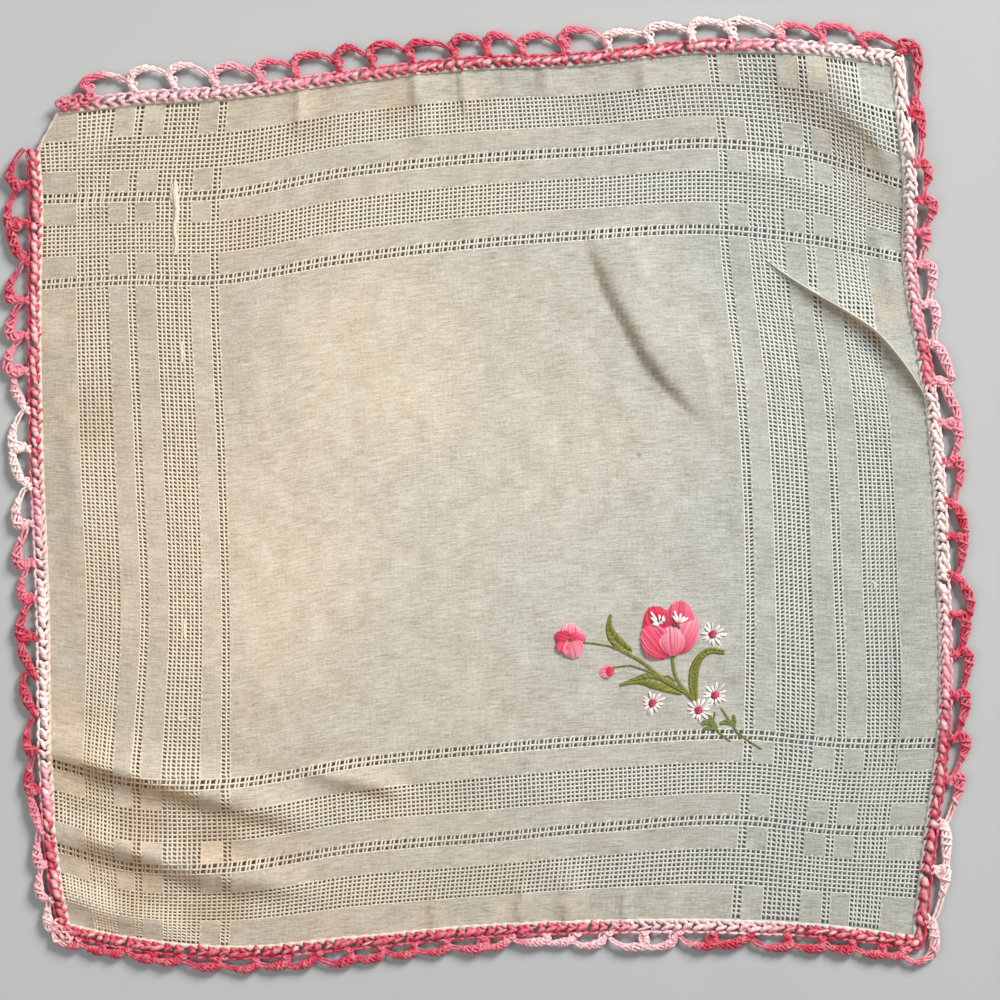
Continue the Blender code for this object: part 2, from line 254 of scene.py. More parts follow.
def fold_normal():
    """The level direction out over the fold line, away from the cloth."""
    (x0, y0), (x1, y1) = FOLD_LINE
    length = math.hypot(x1 - x0, y1 - y0)
    return (y1 - y0) / length, -(x1 - x0) / length


def past_fold(x, y):
    """Distance of points in plan past the line on which the corner is folded under."""
    normal = fold_normal()
    return (x - FOLD_LINE[0][0]) * normal[0] + (y - FOLD_LINE[0][1]) * normal[1]


def surface_height(x, y):
    """Height of the thin cloth's underside over points in plan."""
    folds = sum(fold_height(x, y, *fold) for fold in FOLDS)
    creases = sum(fold_height(x, y, *crease) for crease in CREASES)
    waves = np.zeros(x.size)
    for turn, phase, length in zip(wave_turn, wave_phase, wave_length):
        along = (x * math.cos(turn) + y * math.sin(turn)) * 2.0 * math.pi / length
        waves += np.sin(along + phase) * length / WAVE_LENGTHS[1]
    waves = np.tanh(waves * WAVE_LEVELLING) * 0.5 + 0.5
    middle = (np.array(FOLD_LINE[0]) + np.array(FOLD_LINE[1])) / 2.0
    away = np.maximum(-past_fold(x, y), np.hypot(x - middle[0], y - middle[1]))
    fade = np.clip((away - LIFT_FLAT) / (LIFT_REACH - LIFT_FLAT), 0.0, 1.0)
    far = fade * fade * (3.0 - 2.0 * fade)
    free = np.maximum(folds - FOLD_FLOOR, 0.0) + creases + waves * WAVE_HEIGHT
    return free * far + (1.0 - far) * CORNER_LIFT + LINEN_LIFT * far


def on_cloth(x, y, above, rolled=True):
    """World places of points in plan that stand a height above the cloth's underside."""
    base = surface_height(x, y)
    past = np.maximum(past_fold(x, y), 0.0) * (1.0 if rolled else 0.0)
    normal = fold_normal()
    angle = np.clip(past / ROLL_RADIUS, 0.0, math.pi)
    flat_past = np.maximum(past - math.pi * ROLL_RADIUS, 0.0)
    radius = ROLL_RADIUS + above
    out = np.where(past > 0, radius * np.sin(angle) - flat_past - past, 0.0)
    z = base - ROLL_RADIUS + radius * np.cos(angle)
    return np.stack(((x + normal[0] * out + CENTRE_SHIFT[0]) * MM,
                     (y + normal[1] * out + CENTRE_SHIFT[1]) * MM, z * MM), axis=-1)


def place(across, up, above=0.0, rolled=True):
    """World places of points of the flat cloth, a height above its underside."""
    across, up = np.asarray(across, float).ravel(), np.asarray(up, float).ravel()
    x, y = lie(across, up)
    return on_cloth(x, y, np.broadcast_to(np.asarray(above, float), x.shape), rolled)


# Painted brown shade: the slope is taken over a short way to the upper right, towards the window
# lamp; slopes above the least one get the painted shade
SLOPE_STEP = 0.35
SLOPE_RUN = 0.495
LEAST_SLOPE = 0.12
SLOPE_SHADE_GAIN = 2.0


def painted_slope_shade(across, up):
    """Painted brown shade on the flat cloth: most where it lies on a fold's steep lower left slope."""
    x, y = lie(across, up)
    climb = surface_height(x + SLOPE_STEP, y + SLOPE_STEP) - surface_height(x, y)
    return np.clip((climb / SLOPE_RUN - LEAST_SLOPE) * SLOPE_SHADE_GAIN, 0.0, 1.0)


# ------------------------------------------------------------------ materials

class Value:
    """A number in a material's nodes; arithmetic on it adds Math nodes."""

    def __init__(self, finish, socket):
        self.finish, self.socket = finish, socket

    def maths(self, operation, *values):
        settings = {"operation": operation}
        return self.finish.node("ShaderNodeMath", settings, values)["Value"]

    def __add__(self, other):
        return self.maths("ADD", self, other)

    def __sub__(self, other):
        return self.maths("SUBTRACT", self, other)

    def __rsub__(self, other):
        return self.maths("SUBTRACT", other, self)

    def __mul__(self, other):
        return self.maths("MULTIPLY", self, other)

    def __pow__(self, other):
        return self.maths("POWER", self, other)

    def sine(self):
        return self.maths("SINE", self)

    def limit(self):
        return self.maths("MINIMUM", self.maths("MAXIMUM", self, 0.0), 1.0)


class Finish:
    """A material and the ways to add nodes to it."""

    def __init__(self, name, roughness, sheen=0.0, sheen_roughness=0.5):
        self.material = bpy.data.materials.new(name)
        self.material.use_nodes = True
        self.nodes = self.material.node_tree.nodes
        self.links = self.material.node_tree.links
        self.shader = self.nodes["Principled BSDF"]
        self.shader.inputs["Roughness"].default_value = roughness
        self.shader.inputs["Sheen Weight"].default_value = sheen
        self.shader.inputs["Sheen Roughness"].default_value = sheen_roughness
        self.shader.inputs["Specular IOR Level"].default_value = 0.25

    def put(self, socket, value):
        """Link a value to a socket, or set it there."""
        if isinstance(value, Value):
            self.links.new(value.socket, socket)
        elif value is not None:
            socket.default_value = value

    def node(self, kind, settings=None, values=()):
        """Add a node: its settings first, then its sockets by order or by name."""
        node = self.nodes.new(kind)
        for key, setting in (settings or {}).items():
            setattr(node, key, setting)
        named = values.items() if isinstance(values, dict) else enumerate(values)
        for key, value in named:
            self.put(node.inputs[key], value)
        return {socket.name: Value(self, socket) for socket in node.outputs if socket.enabled}

    def attribute(self, name, output="Fac"):
        return self.node("ShaderNodeAttribute", {"attribute_name": name})[output]

    def parts(self, vector):
        spread = self.node("ShaderNodeSeparateXYZ", values=[vector])
        return spread["X"], spread["Y"], spread["Z"]

    def stretched(self, vector, scale):
        return self.node("ShaderNodeMapping", values={"Vector": vector, "Scale": scale})["Vector"]

    def noise(self, vector, scale, detail=3.0, roughness=0.55):
        sockets = {"Vector": vector, "Scale": scale, "Detail": detail, "Roughness": roughness}
        return self.node("ShaderNodeTexNoise", values=sockets)["Fac"]

    def ramp(self, factor, stops):
        """A run of colours along a value."""
        node = self.nodes.new("ShaderNodeValToRGB")
        elements = node.color_ramp.elements
        while len(elements) > 1:
            elements.remove(elements[-1])
        elements[0].position, elements[0].color = stops[0][0], (*stops[0][1], 1.0)
        for position, colour in stops[1:]:
            elements.new(position).color = (*colour, 1.0)
        self.put(node.inputs["Fac"], factor)
        return Value(self, node.outputs["Color"])

    def blend(self, factor, first, second, mode="MIX"):
        """Mix two colours."""
        node = self.nodes.new("ShaderNodeMix")
        node.data_type, node.blend_type = "RGBA", mode
        self.put(node.inputs["Factor"], factor)
        sockets = [socket for socket in node.inputs if socket.type == "RGBA"]
        for socket, value in zip(sockets, (first, second)):
            self.put(socket, (*value, 1.0) if isinstance(value, tuple) else value)
        return Value(self, next(out for out in node.outputs if out.type == "RGBA"))

    def multiplied(self, tone, tint):
        """A colour multiplied by another."""
        return self.blend(1.0, tone, tint, "MULTIPLY")

    def fibrous(self, tone, spot, scale, share, shade, relief):
        """End with fine fibres, by scale and detail, shaded and standing out a little."""
        fibres = self.noise(spot, scale[0], scale[1], 0.7)
        tone = self.blend((fibres * share).limit(), tone, self.multiplied(tone, shade))
        return self.end(tone, fibres, strength=relief, distance=0.0001)

    def end(self, tone, height=None, strength=0.3, distance=0.0002):
        """Feed the shader and give the material back."""
        self.put(self.shader.inputs["Base Color"], tone)
        if height is not None:
            sockets = {"Strength": strength, "Distance": distance, "Height": height}
            self.put(self.shader.inputs["Normal"],
                     self.node("ShaderNodeBump", values=sockets)["Normal"])
        return self.material


def colour(red, green, blue):
    """A colour given as it is seen on a screen, from 0 to 255, as the shader takes it."""
    return tuple((part / 255.0 / 12.92) if part < 10.3 else ((part / 255.0 + 0.055) / 1.055) ** 2.4
                 for part in (red, green, blue))


WARM_LINEN = colour(192, 177, 157)
COOL_LINEN = colour(163, 169, 165)
YARN_WARM = colour(233, 221, 200)
YARN_COOL = colour(212, 217, 213)
HEM_WARM = colour(222, 206, 190)
HEM_COOL = colour(208, 208, 202)
# painted shade: the linen tone's darkening away from the middle and at the left edge
FALLOFF_SHADE_TINT = colour(211, 208, 206)
# painted shade, tinted brown, for slopes that face away from the window lamp
SLOPE_SHADE_TINT = colour(243, 214, 180)
THREAD_SHADE = colour(206, 198, 184)
THREAD_LIGHT = colour(232, 231, 221)
WEAVE_LIGHT = colour(226, 220, 204)
BUNDLE_SHADE = colour(214, 206, 190)
HEM_SHADE = colour(224, 212, 204)
# pale cotton for paler patches, and for the painted highlight on the heading's stitches
COTTON_PALE_AND_HIGHLIGHT = colour(255, 228, 226)
COTTON_SHADE = colour(222, 186, 190)
TABLE_DARK = colour(160, 162, 162)
TABLE_LIGHT = colour(168, 169, 168)
WARP_PITCH = 0.36
WEFT_PITCH = 0.34


# How the linen's colour turns over the cloth: cooler to the right; a painted shade makes it greyer
# away from the middle and at the left edge; all by the millimetre, and drifting a little everywhere
DRIFT_SCALE = 0.011
COOLING, COOL_MIDDLE = 0.0058, 0.44
FALLOFF_RATE, FALLOFF_START = 0.0078, 0.17
LEFT_EDGE_SHADE_RATE, LEFT_START, LEFT_SHARE = 0.03, 3.2, 0.35


def linen_tone(finish, flat, warm, cool, falloff_share):
    """Linen colour: warm left, cool right; painted shade greys it outwards and browns the slopes."""
    across, up, slope_shade = finish.parts(flat)
    drift = finish.noise(flat, DRIFT_SCALE, 2.0) * 0.9 - 0.45
    tone = finish.blend((across * COOLING + COOL_MIDDLE + drift).limit(), warm, cool)
    # painted shade: greyer and darker away from the middle and at the left edge
    away = (across * across + up * up) ** 0.5 * FALLOFF_RATE - FALLOFF_START
    left_edge = (across * -LEFT_EDGE_SHADE_RATE - LEFT_START).limit() * LEFT_SHARE
    falloff_shaded = finish.multiplied(tone, FALLOFF_SHADE_TINT)
    tone = finish.blend((away + left_edge + drift * 0.5).limit() * falloff_share, tone, falloff_shaded)
    # painted shade, tinted brown, where the cloth slopes away from the window lamp
    return finish.blend(slope_shade.limit(), tone, finish.multiplied(tone, SLOPE_SHADE_TINT))


# Marks on the cloth, some real stains, some painted shade and painted light: place in the flat,
# radius (millimetres), strength, colour on a screen
STAINS_AND_PAINTED_LIGHT = (
    # small dark spots: real stains
    (48.9, 8.7, 0.55, 0.85, (70, 55, 45)),
    (52.0, 67.5, 0.45, 0.6, (90, 75, 60)),
    (55.0, 65.5, 0.35, 0.5, (90, 75, 60)),
    # brown patches on the left side and over the short creases along the top edge
    (-123.0, 36.0, 9.0, 0.5, (178, 150, 118)),
    (-131.0, 66.0, 8.0, 0.35, (184, 158, 128)),
    (-52.0, 124.0, 6.5, 0.5, (186, 156, 126)),
    (-24.0, 124.5, 5.0, 0.55, (180, 148, 116)),
    (4.0, 123.0, 4.5, 0.35, (186, 158, 130)),
    (-70.0, 93.0, 7.0, 0.25, (190, 160, 130)),
    (-122.0, -20.0, 14.0, 0.28, (192, 164, 136)),
    # painted shade, tinted brown, on the lower left slopes of the folds at the lower left
    (-132.0, -62.0, 9.0, 0.55, (192, 162, 128)),
    (-128.0, -82.0, 9.0, 0.75, (190, 158, 122)),
    (-106.0, -90.0, 8.0, 0.75, (188, 156, 120)),
    (-84.0, -97.0, 8.0, 0.70, (184, 152, 117)),
    (-62.0, -103.0, 6.0, 0.55, (184, 154, 122)),
    (-108.0, -112.0, 9.0, 0.75, (184, 152, 117)),
    (-84.0, -119.0, 8.0, 0.65, (182, 152, 120)),
    (-127.0, -106.0, 7.0, 0.70, (190, 158, 124)),
    # painted shade: greyish darkening at the lower middle, on a soft fold below the middle, and along
    # the top edge
    (-2.0, -114.0, 22.0, 0.35, (160, 158, 146)),
    (-8.0, -84.0, 9.0, 0.30, (162, 158, 144)),
    (44.0, 124.0, 10.0, 0.40, (152, 149, 138)),
    (74.0, 118.0, 9.0, 0.25, (156, 154, 144)),
    # brown patches over the short creases along the bottom edge
    (-50.0, -128.0, 6.0, 0.40, (180, 152, 124)),
    (-16.0, -128.0, 5.0, 0.45, (178, 150, 124)),
    (10.0, -126.0, 5.0, 0.45, (178, 150, 124)),
    (28.0, -127.0, 4.0, 0.30, (180, 154, 128)),
    # painted shade, tinted brown, on the lower left slope of the fold at the upper right
    (110.0, 124.0, 9.0, 0.50, (176, 158, 134)),
    (121.0, 112.0, 8.0, 0.50, (174, 156, 134)),
    (127.0, 96.0, 6.0, 0.45, (174, 156, 132)),
    (131.0, 62.0, 5.0, 0.40, (172, 154, 132)),
    # painted light: a warm, lighter pool over the left middle of the cloth
    (-35.0, 45.0, 26.0, 0.30, (226, 206, 176)),
    (-80.0, 0.0, 30.0, 0.22, (228, 200, 178)),
    (-60.0, -26.0, 22.0, 0.22, (226, 208, 184)),
)


def with_stains_and_painted_light(finish, flat, tone, amount):
    """The tone with stains, painted shade and painted light over it, ragged at their edges."""
    waver = finish.noise(flat, 0.14, 3.0)
    for across, up, radius, strength, tint in STAINS_AND_PAINTED_LIGHT:
        away = finish.node("ShaderNodeVectorMath", {"operation": "DISTANCE"},
                           (flat, (across, up, 0.0)))["Value"]
        share = (1.6 - away * (1.0 / radius) - (waver - 0.5) * 1.2).limit() * (strength * amount)
        tone = finish.blend(share, tone, colour(*tint))
    return tone


def linen_material():
    """Plain lawn: slubs and weave over the tone, its stains and its painted shade and light."""
    finish = Finish("linen_lawn", 0.88, sheen=0.12)
    flat = finish.attribute("flat", "Vector")
    across, up, _ = finish.parts(flat)
    # the tone carries painted shade: darker outwards, and brown on slopes facing away from the window
    # lamp
    tone = linen_tone(finish, flat, WARM_LINEN, COOL_LINEN, 0.9)
    tone = with_stains_and_painted_light(finish, flat, tone, 1.0)
    # slubs: thicker threads that run across, and a few up the cloth
    slubs = finish.noise(finish.stretched(flat, (0.10, 0.95, 1.0)), 1.0, 4.0, 0.7)
    lines = finish.noise(finish.stretched(flat, (0.20, 2.4, 1.0)), 1.0, 2.0, 0.5)
    grain = finish.noise(flat, 1.3, 3.0, 0.7)
    warp_slubs = finish.noise(finish.stretched(flat, (1.5, 0.12, 1.0)), 1.0, 3.0, 0.6)
    mottle = finish.noise(flat, 0.10, 6.0, 0.62)
    threads = slubs * 0.7 + lines * 0.8 + warp_slubs * 0.5
    shade = (threads * 0.75 + lines * 0.35 + mottle * 0.6 + grain - 1.73) * 1.35 + 0.5
    darker = finish.multiplied(tone, THREAD_SHADE)
    lighter = finish.blend(0.30, tone, THREAD_LIGHT)
    tone = finish.blend(shade.limit(), darker, lighter)
    # plain weave: each thread rises over every second one
    warp = (across * (math.pi / WARP_PITCH)).sine()
    weft = (up * (math.pi / WEFT_PITCH)).sine()
    weave = warp * weft * 0.5 + 0.5
    relief = weave * 0.5 + slubs * 0.3 + lines * 0.5
    tone = finish.blend((weave * 0.14).limit(), tone, WEAVE_LIGHT)
    return finish.end(tone, relief, strength=0.4, distance=0.00014)


def openwork_material():
    """The bundles of linen yarn in the openwork."""
    finish = Finish("openwork_yarn", 0.8, sheen=0.15)
    flat = finish.attribute("flat", "Vector")
    # the linen tone's painted shade, and the marks' stains, painted shade and painted light, at 0.6
    # strength
    tone = with_stains_and_painted_light(finish, flat, linen_tone(finish, flat, YARN_WARM, YARN_COOL, 0.42), 0.6)
    return finish.fibrous(tone, flat, (2.2, 4.0), 0.9, BUNDLE_SHADE, 0.3)


def hem_material():
    """The rolled hem's linen, paler than the middle of the cloth."""
    finish = Finish("rolled_hem_linen", 0.85, sheen=0.12)
    flat = finish.attribute("flat", "Vector")
    # the tone carries painted shade: darker outwards, and brown on slopes facing away from the window
    # lamp
    tone = linen_tone(finish, flat, HEM_WARM, HEM_COOL, 0.3)
    return finish.fibrous(tone, flat, (2.0, 4.0), 0.8, HEM_SHADE, 0.3)


# Variegated crochet cotton, by how far round the edge it is worked, clockwise from the turned corner
CREAM = colour(241, 225, 217)
PALE = colour(233, 194, 198)
PINK = colour(225, 145, 159)
MID = colour(212, 95, 117)
DEEP = colour(190, 50, 77)
DYE_SEAM = 0.655
LOOP_DYE = (
    (0.010, MID), (0.015, PALE), (0.022, CREAM), (0.042, PALE), (0.050, PINK), (0.064, MID),
    (0.075, DEEP), (0.125, DEEP), (0.140, MID), (0.160, MID), (0.168, CREAM), (0.208, CREAM),
    (0.216, MID), (0.236, MID), (0.246, DEEP), (0.282, DEEP), (0.296, MID), (0.312, PALE),
    (0.356, PINK), (0.373, MID), (0.380, DEEP), (0.445, DEEP), (0.460, MID), (0.472, CREAM),
    (0.500, PALE), (0.508, MID), (0.518, DEEP), (0.566, DEEP), (0.578, PALE), (0.612, PALE),
    (0.626, MID), (DYE_SEAM, DEEP),
)
LOOP_DYE_ON = (
    (DYE_SEAM, DEEP), (0.755, DEEP), (0.762, CREAM), (0.774, PALE), (0.800, PINK), (0.810, DEEP),
    (0.855, DEEP), (0.868, MID), (0.884, PINK), (0.892, CREAM), (0.924, CREAM), (0.934, PINK),
    (0.954, MID), (0.964, DEEP), (1.000, DEEP),
)
HEADING_DYE = (
    (0.000, MID), (0.010, MID), (0.014, PALE), (0.050, PALE), (0.066, PINK), (0.100, MID),
    (0.110, DEEP), (0.195, DEEP), (0.205, PINK), (0.224, PALE), (0.232, CREAM), (0.284, CREAM),
    (0.295, PALE), (0.326, PINK),
    (0.333, DEEP), (0.340, MID), (0.345, CREAM), (0.402, CREAM), (0.412, PALE), (0.436, PINK),
    (0.448, DEEP), (0.540, DEEP), (0.552, PALE), (0.584, PALE), (0.596, MID), (DYE_SEAM, DEEP),
)
HEADING_DYE_ON = (
    (DYE_SEAM, DEEP), (0.790, DEEP), (0.806, PINK), (0.816, CREAM), (0.866, CREAM), (0.880, PALE),
    (0.896, PINK), (0.910, DEEP), (1.000, DEEP),
)
PLY_LENGTH = 1.7


def cotton_material(name, dye, dye_on):
    """Plied crochet cotton; its dye runs on from one list of colours to the next at the seam."""
    finish = Finish(name, 0.66, sheen=0.22, sheen_roughness=0.35)
    along = finish.attribute("along")
    twist = finish.attribute("twist")
    spot = finish.node("ShaderNodeTexCoord")["Object"]
    drift = (finish.noise(spot, 160.0, 2.0) - 0.5) * 0.012
    first = finish.ramp(along + drift, dye)
    second = finish.ramp(along + drift, dye_on)
    later = finish.node("ShaderNodeMath", {"operation": "GREATER_THAN"}, (along + drift, DYE_SEAM))
    tone = finish.blend(later["Value"], first, second)
    # plies: fine slanting lines round the yarn, and paler fibres where the dye took less
    side, rise, _ = finish.parts(finish.attribute("around", "Vector"))
    lay = twist * (2.0 * math.pi / PLY_LENGTH)
    plies = lay.sine() * side + (lay + math.pi / 2.0).sine() * rise + 0.5
    fibres = finish.noise(spot, 1300.0, 3.0, 0.7)
    # plies: fine slanting lines round the yarn, with painted shade in their grooves; paler patches
    # where the dye took less, and a painted highlight where the glint attribute says
    patches = finish.noise(spot, 420.0, 2.0, 0.5)
    tone = finish.blend(((patches - 0.42) * 1.3 + finish.attribute("glint")).limit(), tone,
                        finish.blend(0.62, tone, COTTON_PALE_AND_HIGHLIGHT))
    # painted shade in the grooves between the plies
    shadow = finish.multiplied(tone, COTTON_SHADE)
    tone = finish.blend((plies * 0.6 + fibres * 0.5).limit(), shadow, tone)
    return finish.end(tone, plies * 0.5 + fibres * 0.5, strength=0.32, distance=0.00014)


def floss_material():
    """Embroidery floss, in the colour that each stitch carries."""
    finish = Finish("embroidery_floss", 0.42, sheen=0.3, sheen_roughness=0.3)
    tone = finish.attribute("dye", "Color")
    spot = finish.node("ShaderNodeTexCoord")["Object"]
    return finish.fibrous(tone, spot, (1900.0, 3.0), 0.6, tone, 0.35)


def table_material():
    """The pale table, faintly mottled."""
    finish = Finish("pale_table", 0.7)
    spot = finish.node("ShaderNodeTexCoord")["Object"]
    grain = finish.noise(spot, 9.0, 3.0)
    return finish.end(finish.blend(grain, TABLE_DARK, TABLE_LIGHT))


# ------------------------------------------------------------------ strands by geometry nodes

class Tree:
    """A geometry node tree and the way to add nodes to it."""

    def __init__(self, name, inputs):
        self.group = bpy.data.node_groups.new(name, "GeometryNodeTree")
        self.add_socket("Geometry", "INPUT", "NodeSocketGeometry")
        for label, kind in inputs:
            self.add_socket(label, "INPUT", kind)
        self.add_socket("Geometry", "OUTPUT", "NodeSocketGeometry")
        self.inputs = self.group.nodes.new("NodeGroupInput").outputs
        self.output = self.group.nodes.new("NodeGroupOutput").inputs[0]

    def add_socket(self, label, way, kind):
        self.group.interface.new_socket(label, in_out=way, socket_type=kind)

    def node(self, kind, values, settings=None):
        """Add a node with its settings and its sockets by name; give back its outputs."""
        node = self.group.nodes.new(kind)
        for key, setting in (settings or {}).items():
            setattr(node, key, setting)
        for key, value in values.items():
            socket = node.inputs[key]
            if isinstance(value, bpy.types.NodeSocket):
                self.group.links.new(value, socket)
            else:
                socket.default_value = value
        return node.outputs

    def finish(self, geometry):
        """End the tree with real geometry in its material."""
        real = self.node("GeometryNodeRealizeInstances", {"Geometry": geometry})[0]
        soft = self.node("GeometryNodeSetShadeSmooth", {"Geometry": real})[0]
        done = self.node("GeometryNodeSetMaterial",
                         {"Geometry": soft, "Material": self.inputs["Material"]})[0]
        self.group.links.new(done, self.output)
        return self.group


def strand_tree():
    """Sweep a round or flattened section along polylines, as wide as their girth attribute says."""
    tree = Tree("strands", (("Sides", "NodeSocketInt"), ("Flatness", "NodeSocketFloat"),
                            ("Material", "NodeSocketMaterial")))
    curve = tree.node("GeometryNodeMeshToCurve", {"Mesh": tree.inputs["Geometry"]})[0]
    level = tree.node("GeometryNodeSetCurveNormal", {"Curve": curve}, {"mode": "Z_UP"})[0]
    girth = tree.node("GeometryNodeInputNamedAttribute", {"Name": "girth"},
                      {"data_type": "FLOAT"})[0]
    sized = tree.node("GeometryNodeSetCurveRadius", {"Curve": level, "Radius": girth})[0]
    ring = tree.node("GeometryNodeCurvePrimitiveCircle",
                     {"Resolution": tree.inputs["Sides"], "Radius": 0.5})[0]
    turned = tree.node("GeometryNodeTransform",
                       {"Geometry": ring, "Rotation": (0.0, 0.0, math.pi / 4.0)})[0]
    spot = tree.node("GeometryNodeInputPosition", {})[0]
    marked = tree.node("GeometryNodeStoreNamedAttribute",
                       {"Geometry": turned, "Name": "around", "Value": spot},
                       {"data_type": "FLOAT_VECTOR", "domain": "POINT"})[0]
    scale = tree.node("ShaderNodeCombineXYZ", {"X": 1.0, "Y": tree.inputs["Flatness"], "Z": 1.0})[0]
    flattened = tree.node("GeometryNodeTransform", {"Geometry": marked, "Scale": scale})[0]
    tube = tree.node("GeometryNodeCurveToMesh", {"Curve": sized, "Profile Curve": flattened,
                                                 "Scale": girth, "Fill Caps": True})[0]
    return tree.finish(tube)


def run_tree(tree, source, name, **inputs):
    """Run a tree on an object and keep its result as a plain mesh object."""
    modifier = source.modifiers.new("tree", "NODES")
    modifier.node_group = tree
    for item in tree.interface.items_tree:
        if item.in_out == "INPUT" and item.name in inputs:
            modifier[item.identifier] = inputs[item.name]
    bpy.context.view_layer.update()
    mesh = worked_mesh(source)
    source.modifiers.remove(modifier)
    mesh.name = name
    return add_object(name, mesh)


class Lines:
    """Polylines with attributes at their points, gathered before a tree sweeps them."""

    def __init__(self, **kinds):
        self.kinds = kinds
        self.places, self.edges, self.count = [], [], 0
        self.values = {name: [] for name in kinds}

    def add(self, places, **values):
        places = np.asarray(places, float)
        number = len(places)
        self.places.append(places)
        steps = np.arange(self.count, self.count + number - 1)
        self.edges.append(np.stack((steps, steps + 1), axis=-1))
        self.count += number
        for name, value in values.items():
            value = np.asarray(value, float)
            width = {"FLOAT": 1, "FLOAT_VECTOR": 3, "FLOAT_COLOR": 4}[self.kinds[name]]
            self.values[name].append(np.broadcast_to(value.reshape(-1, width), (number, width)))

    def object(self, name):
        """The polylines as a mesh object; points with a place in the flat cloth get its painted shade.
        """
        mesh = bpy.data.meshes.new(name)
        places, edges = np.concatenate(self.places), np.concatenate(self.edges)
        mesh.from_pydata(places.tolist(), edges.tolist(), [])
        fields = {"FLOAT": "value", "FLOAT_VECTOR": "vector", "FLOAT_COLOR": "color"}
        for label, kind in self.kinds.items():
            layer = mesh.attributes.new(label, kind, "POINT")
            values = np.concatenate(self.values[label])
            # the flat place's third part carries the painted slope shade
            if label == "flat":
                values[:, 2] = painted_slope_shade(values[:, 0], values[:, 1])
            layer.data.foreach_set(fields[kind], values.ravel())
        return add_object(name, mesh)


LINEN_FIELDS = {"flat": "FLOAT_VECTOR", "girth": "FLOAT"}
YARN_FIELDS = {"girth": "FLOAT", "along": "FLOAT", "twist": "FLOAT", "glint": "FLOAT"}
FLOSS_FIELDS = {"girth": "FLOAT", "dye": "FLOAT_COLOR"}
STRANDS = strand_tree()


def sweep(lines, name, sides, flatness, material):
    """Turn gathered polylines into strands."""
    source = lines.object(name + "_lines")
    piece = run_tree(STRANDS, source, name, Sides=sides, Flatness=flatness, Material=material)
    bpy.data.objects.remove(source)
    return piece


# ------------------------------------------------------------------ the linen

# Openwork stripes: middle, number of holes across the stripe, and spacing (millimetres)
STRIPES_UP = ((120.4, 8, 1.38), (107.35, 2, 1.42), (94.0, 8, 1.38), (81.1, 2, 1.42))
STRIPES_ACROSS = ((118.4, 8, 1.25), (105.0, 2, 1.7), (91.7, 8, 1.25), (78.2, 2, 1.7))
BUNDLE_PITCH_ACROSS = 1.38
BUNDLE_PITCH_UP = 1.257


def stripe_list(stripes):
    """All the stripes of one direction, in order, mirrored about the middle."""
    return sorted([(-middle, holes, pitch) for middle, holes, pitch in stripes] + list(stripes))


def yarn_lines(stripes, half, pitch):
    """Places of the yarn bundles, and for each the stripe it is in or -1."""
    lines, owners = [], []
    edge = -half + HEM
    for number, (middle, holes, spacing) in enumerate(stripe_list(stripes)):
        low = middle - holes * spacing / 2.0
        between = max(round((low - edge) / pitch), 1)
        lines += [edge + (low - edge) * step / between for step in range(1, between)]
        owners += [-1] * (between - 1)
        lines += [low + spacing * step for step in range(holes + 1)]
        owners += [number] * (holes + 1)
        edge = middle + holes * spacing / 2.0
    between = round((half - HEM - edge) / pitch)
    lines += [edge + (half - HEM - edge) * step / between for step in range(1, between)]
    owners += [-1] * (between - 1)
    return np.array(lines), np.array(owners)


COLUMNS, COLUMN_STRIPES = yarn_lines(STRIPES_UP, CLOTH_WIDTH / 2.0, BUNDLE_PITCH_ACROSS)
ROWS, ROW_STRIPES = yarn_lines(STRIPES_ACROSS, CLOTH_DEPTH / 2.0, BUNDLE_PITCH_UP)


def grid_lines(stripes, half, step):
    """Lines of the panels' grid: every stripe's edges, the hem, and even steps between."""
    marks = [-half, -half + HEM]
    for middle, holes, spacing in stripe_list(stripes):
        marks += [middle - holes * spacing / 2.0, middle + holes * spacing / 2.0]
    marks += [half - HEM, half]
    lines = [marks[0]]
    for start, end in zip(marks, marks[1:]):
        count = max(round((end - start) / step), 1)
        lines += [start + (end - start) * (number + 1) / count for number in range(count)]
    return np.array(lines)


def in_stripe(places, stripes):
    """Which places lie in an openwork stripe."""
    inside = np.zeros(places.shape, bool)
    for middle, holes, spacing in stripe_list(stripes):
        inside |= np.abs(places - middle) < holes * spacing / 2.0
    return inside


PANEL_STEP = 1.3


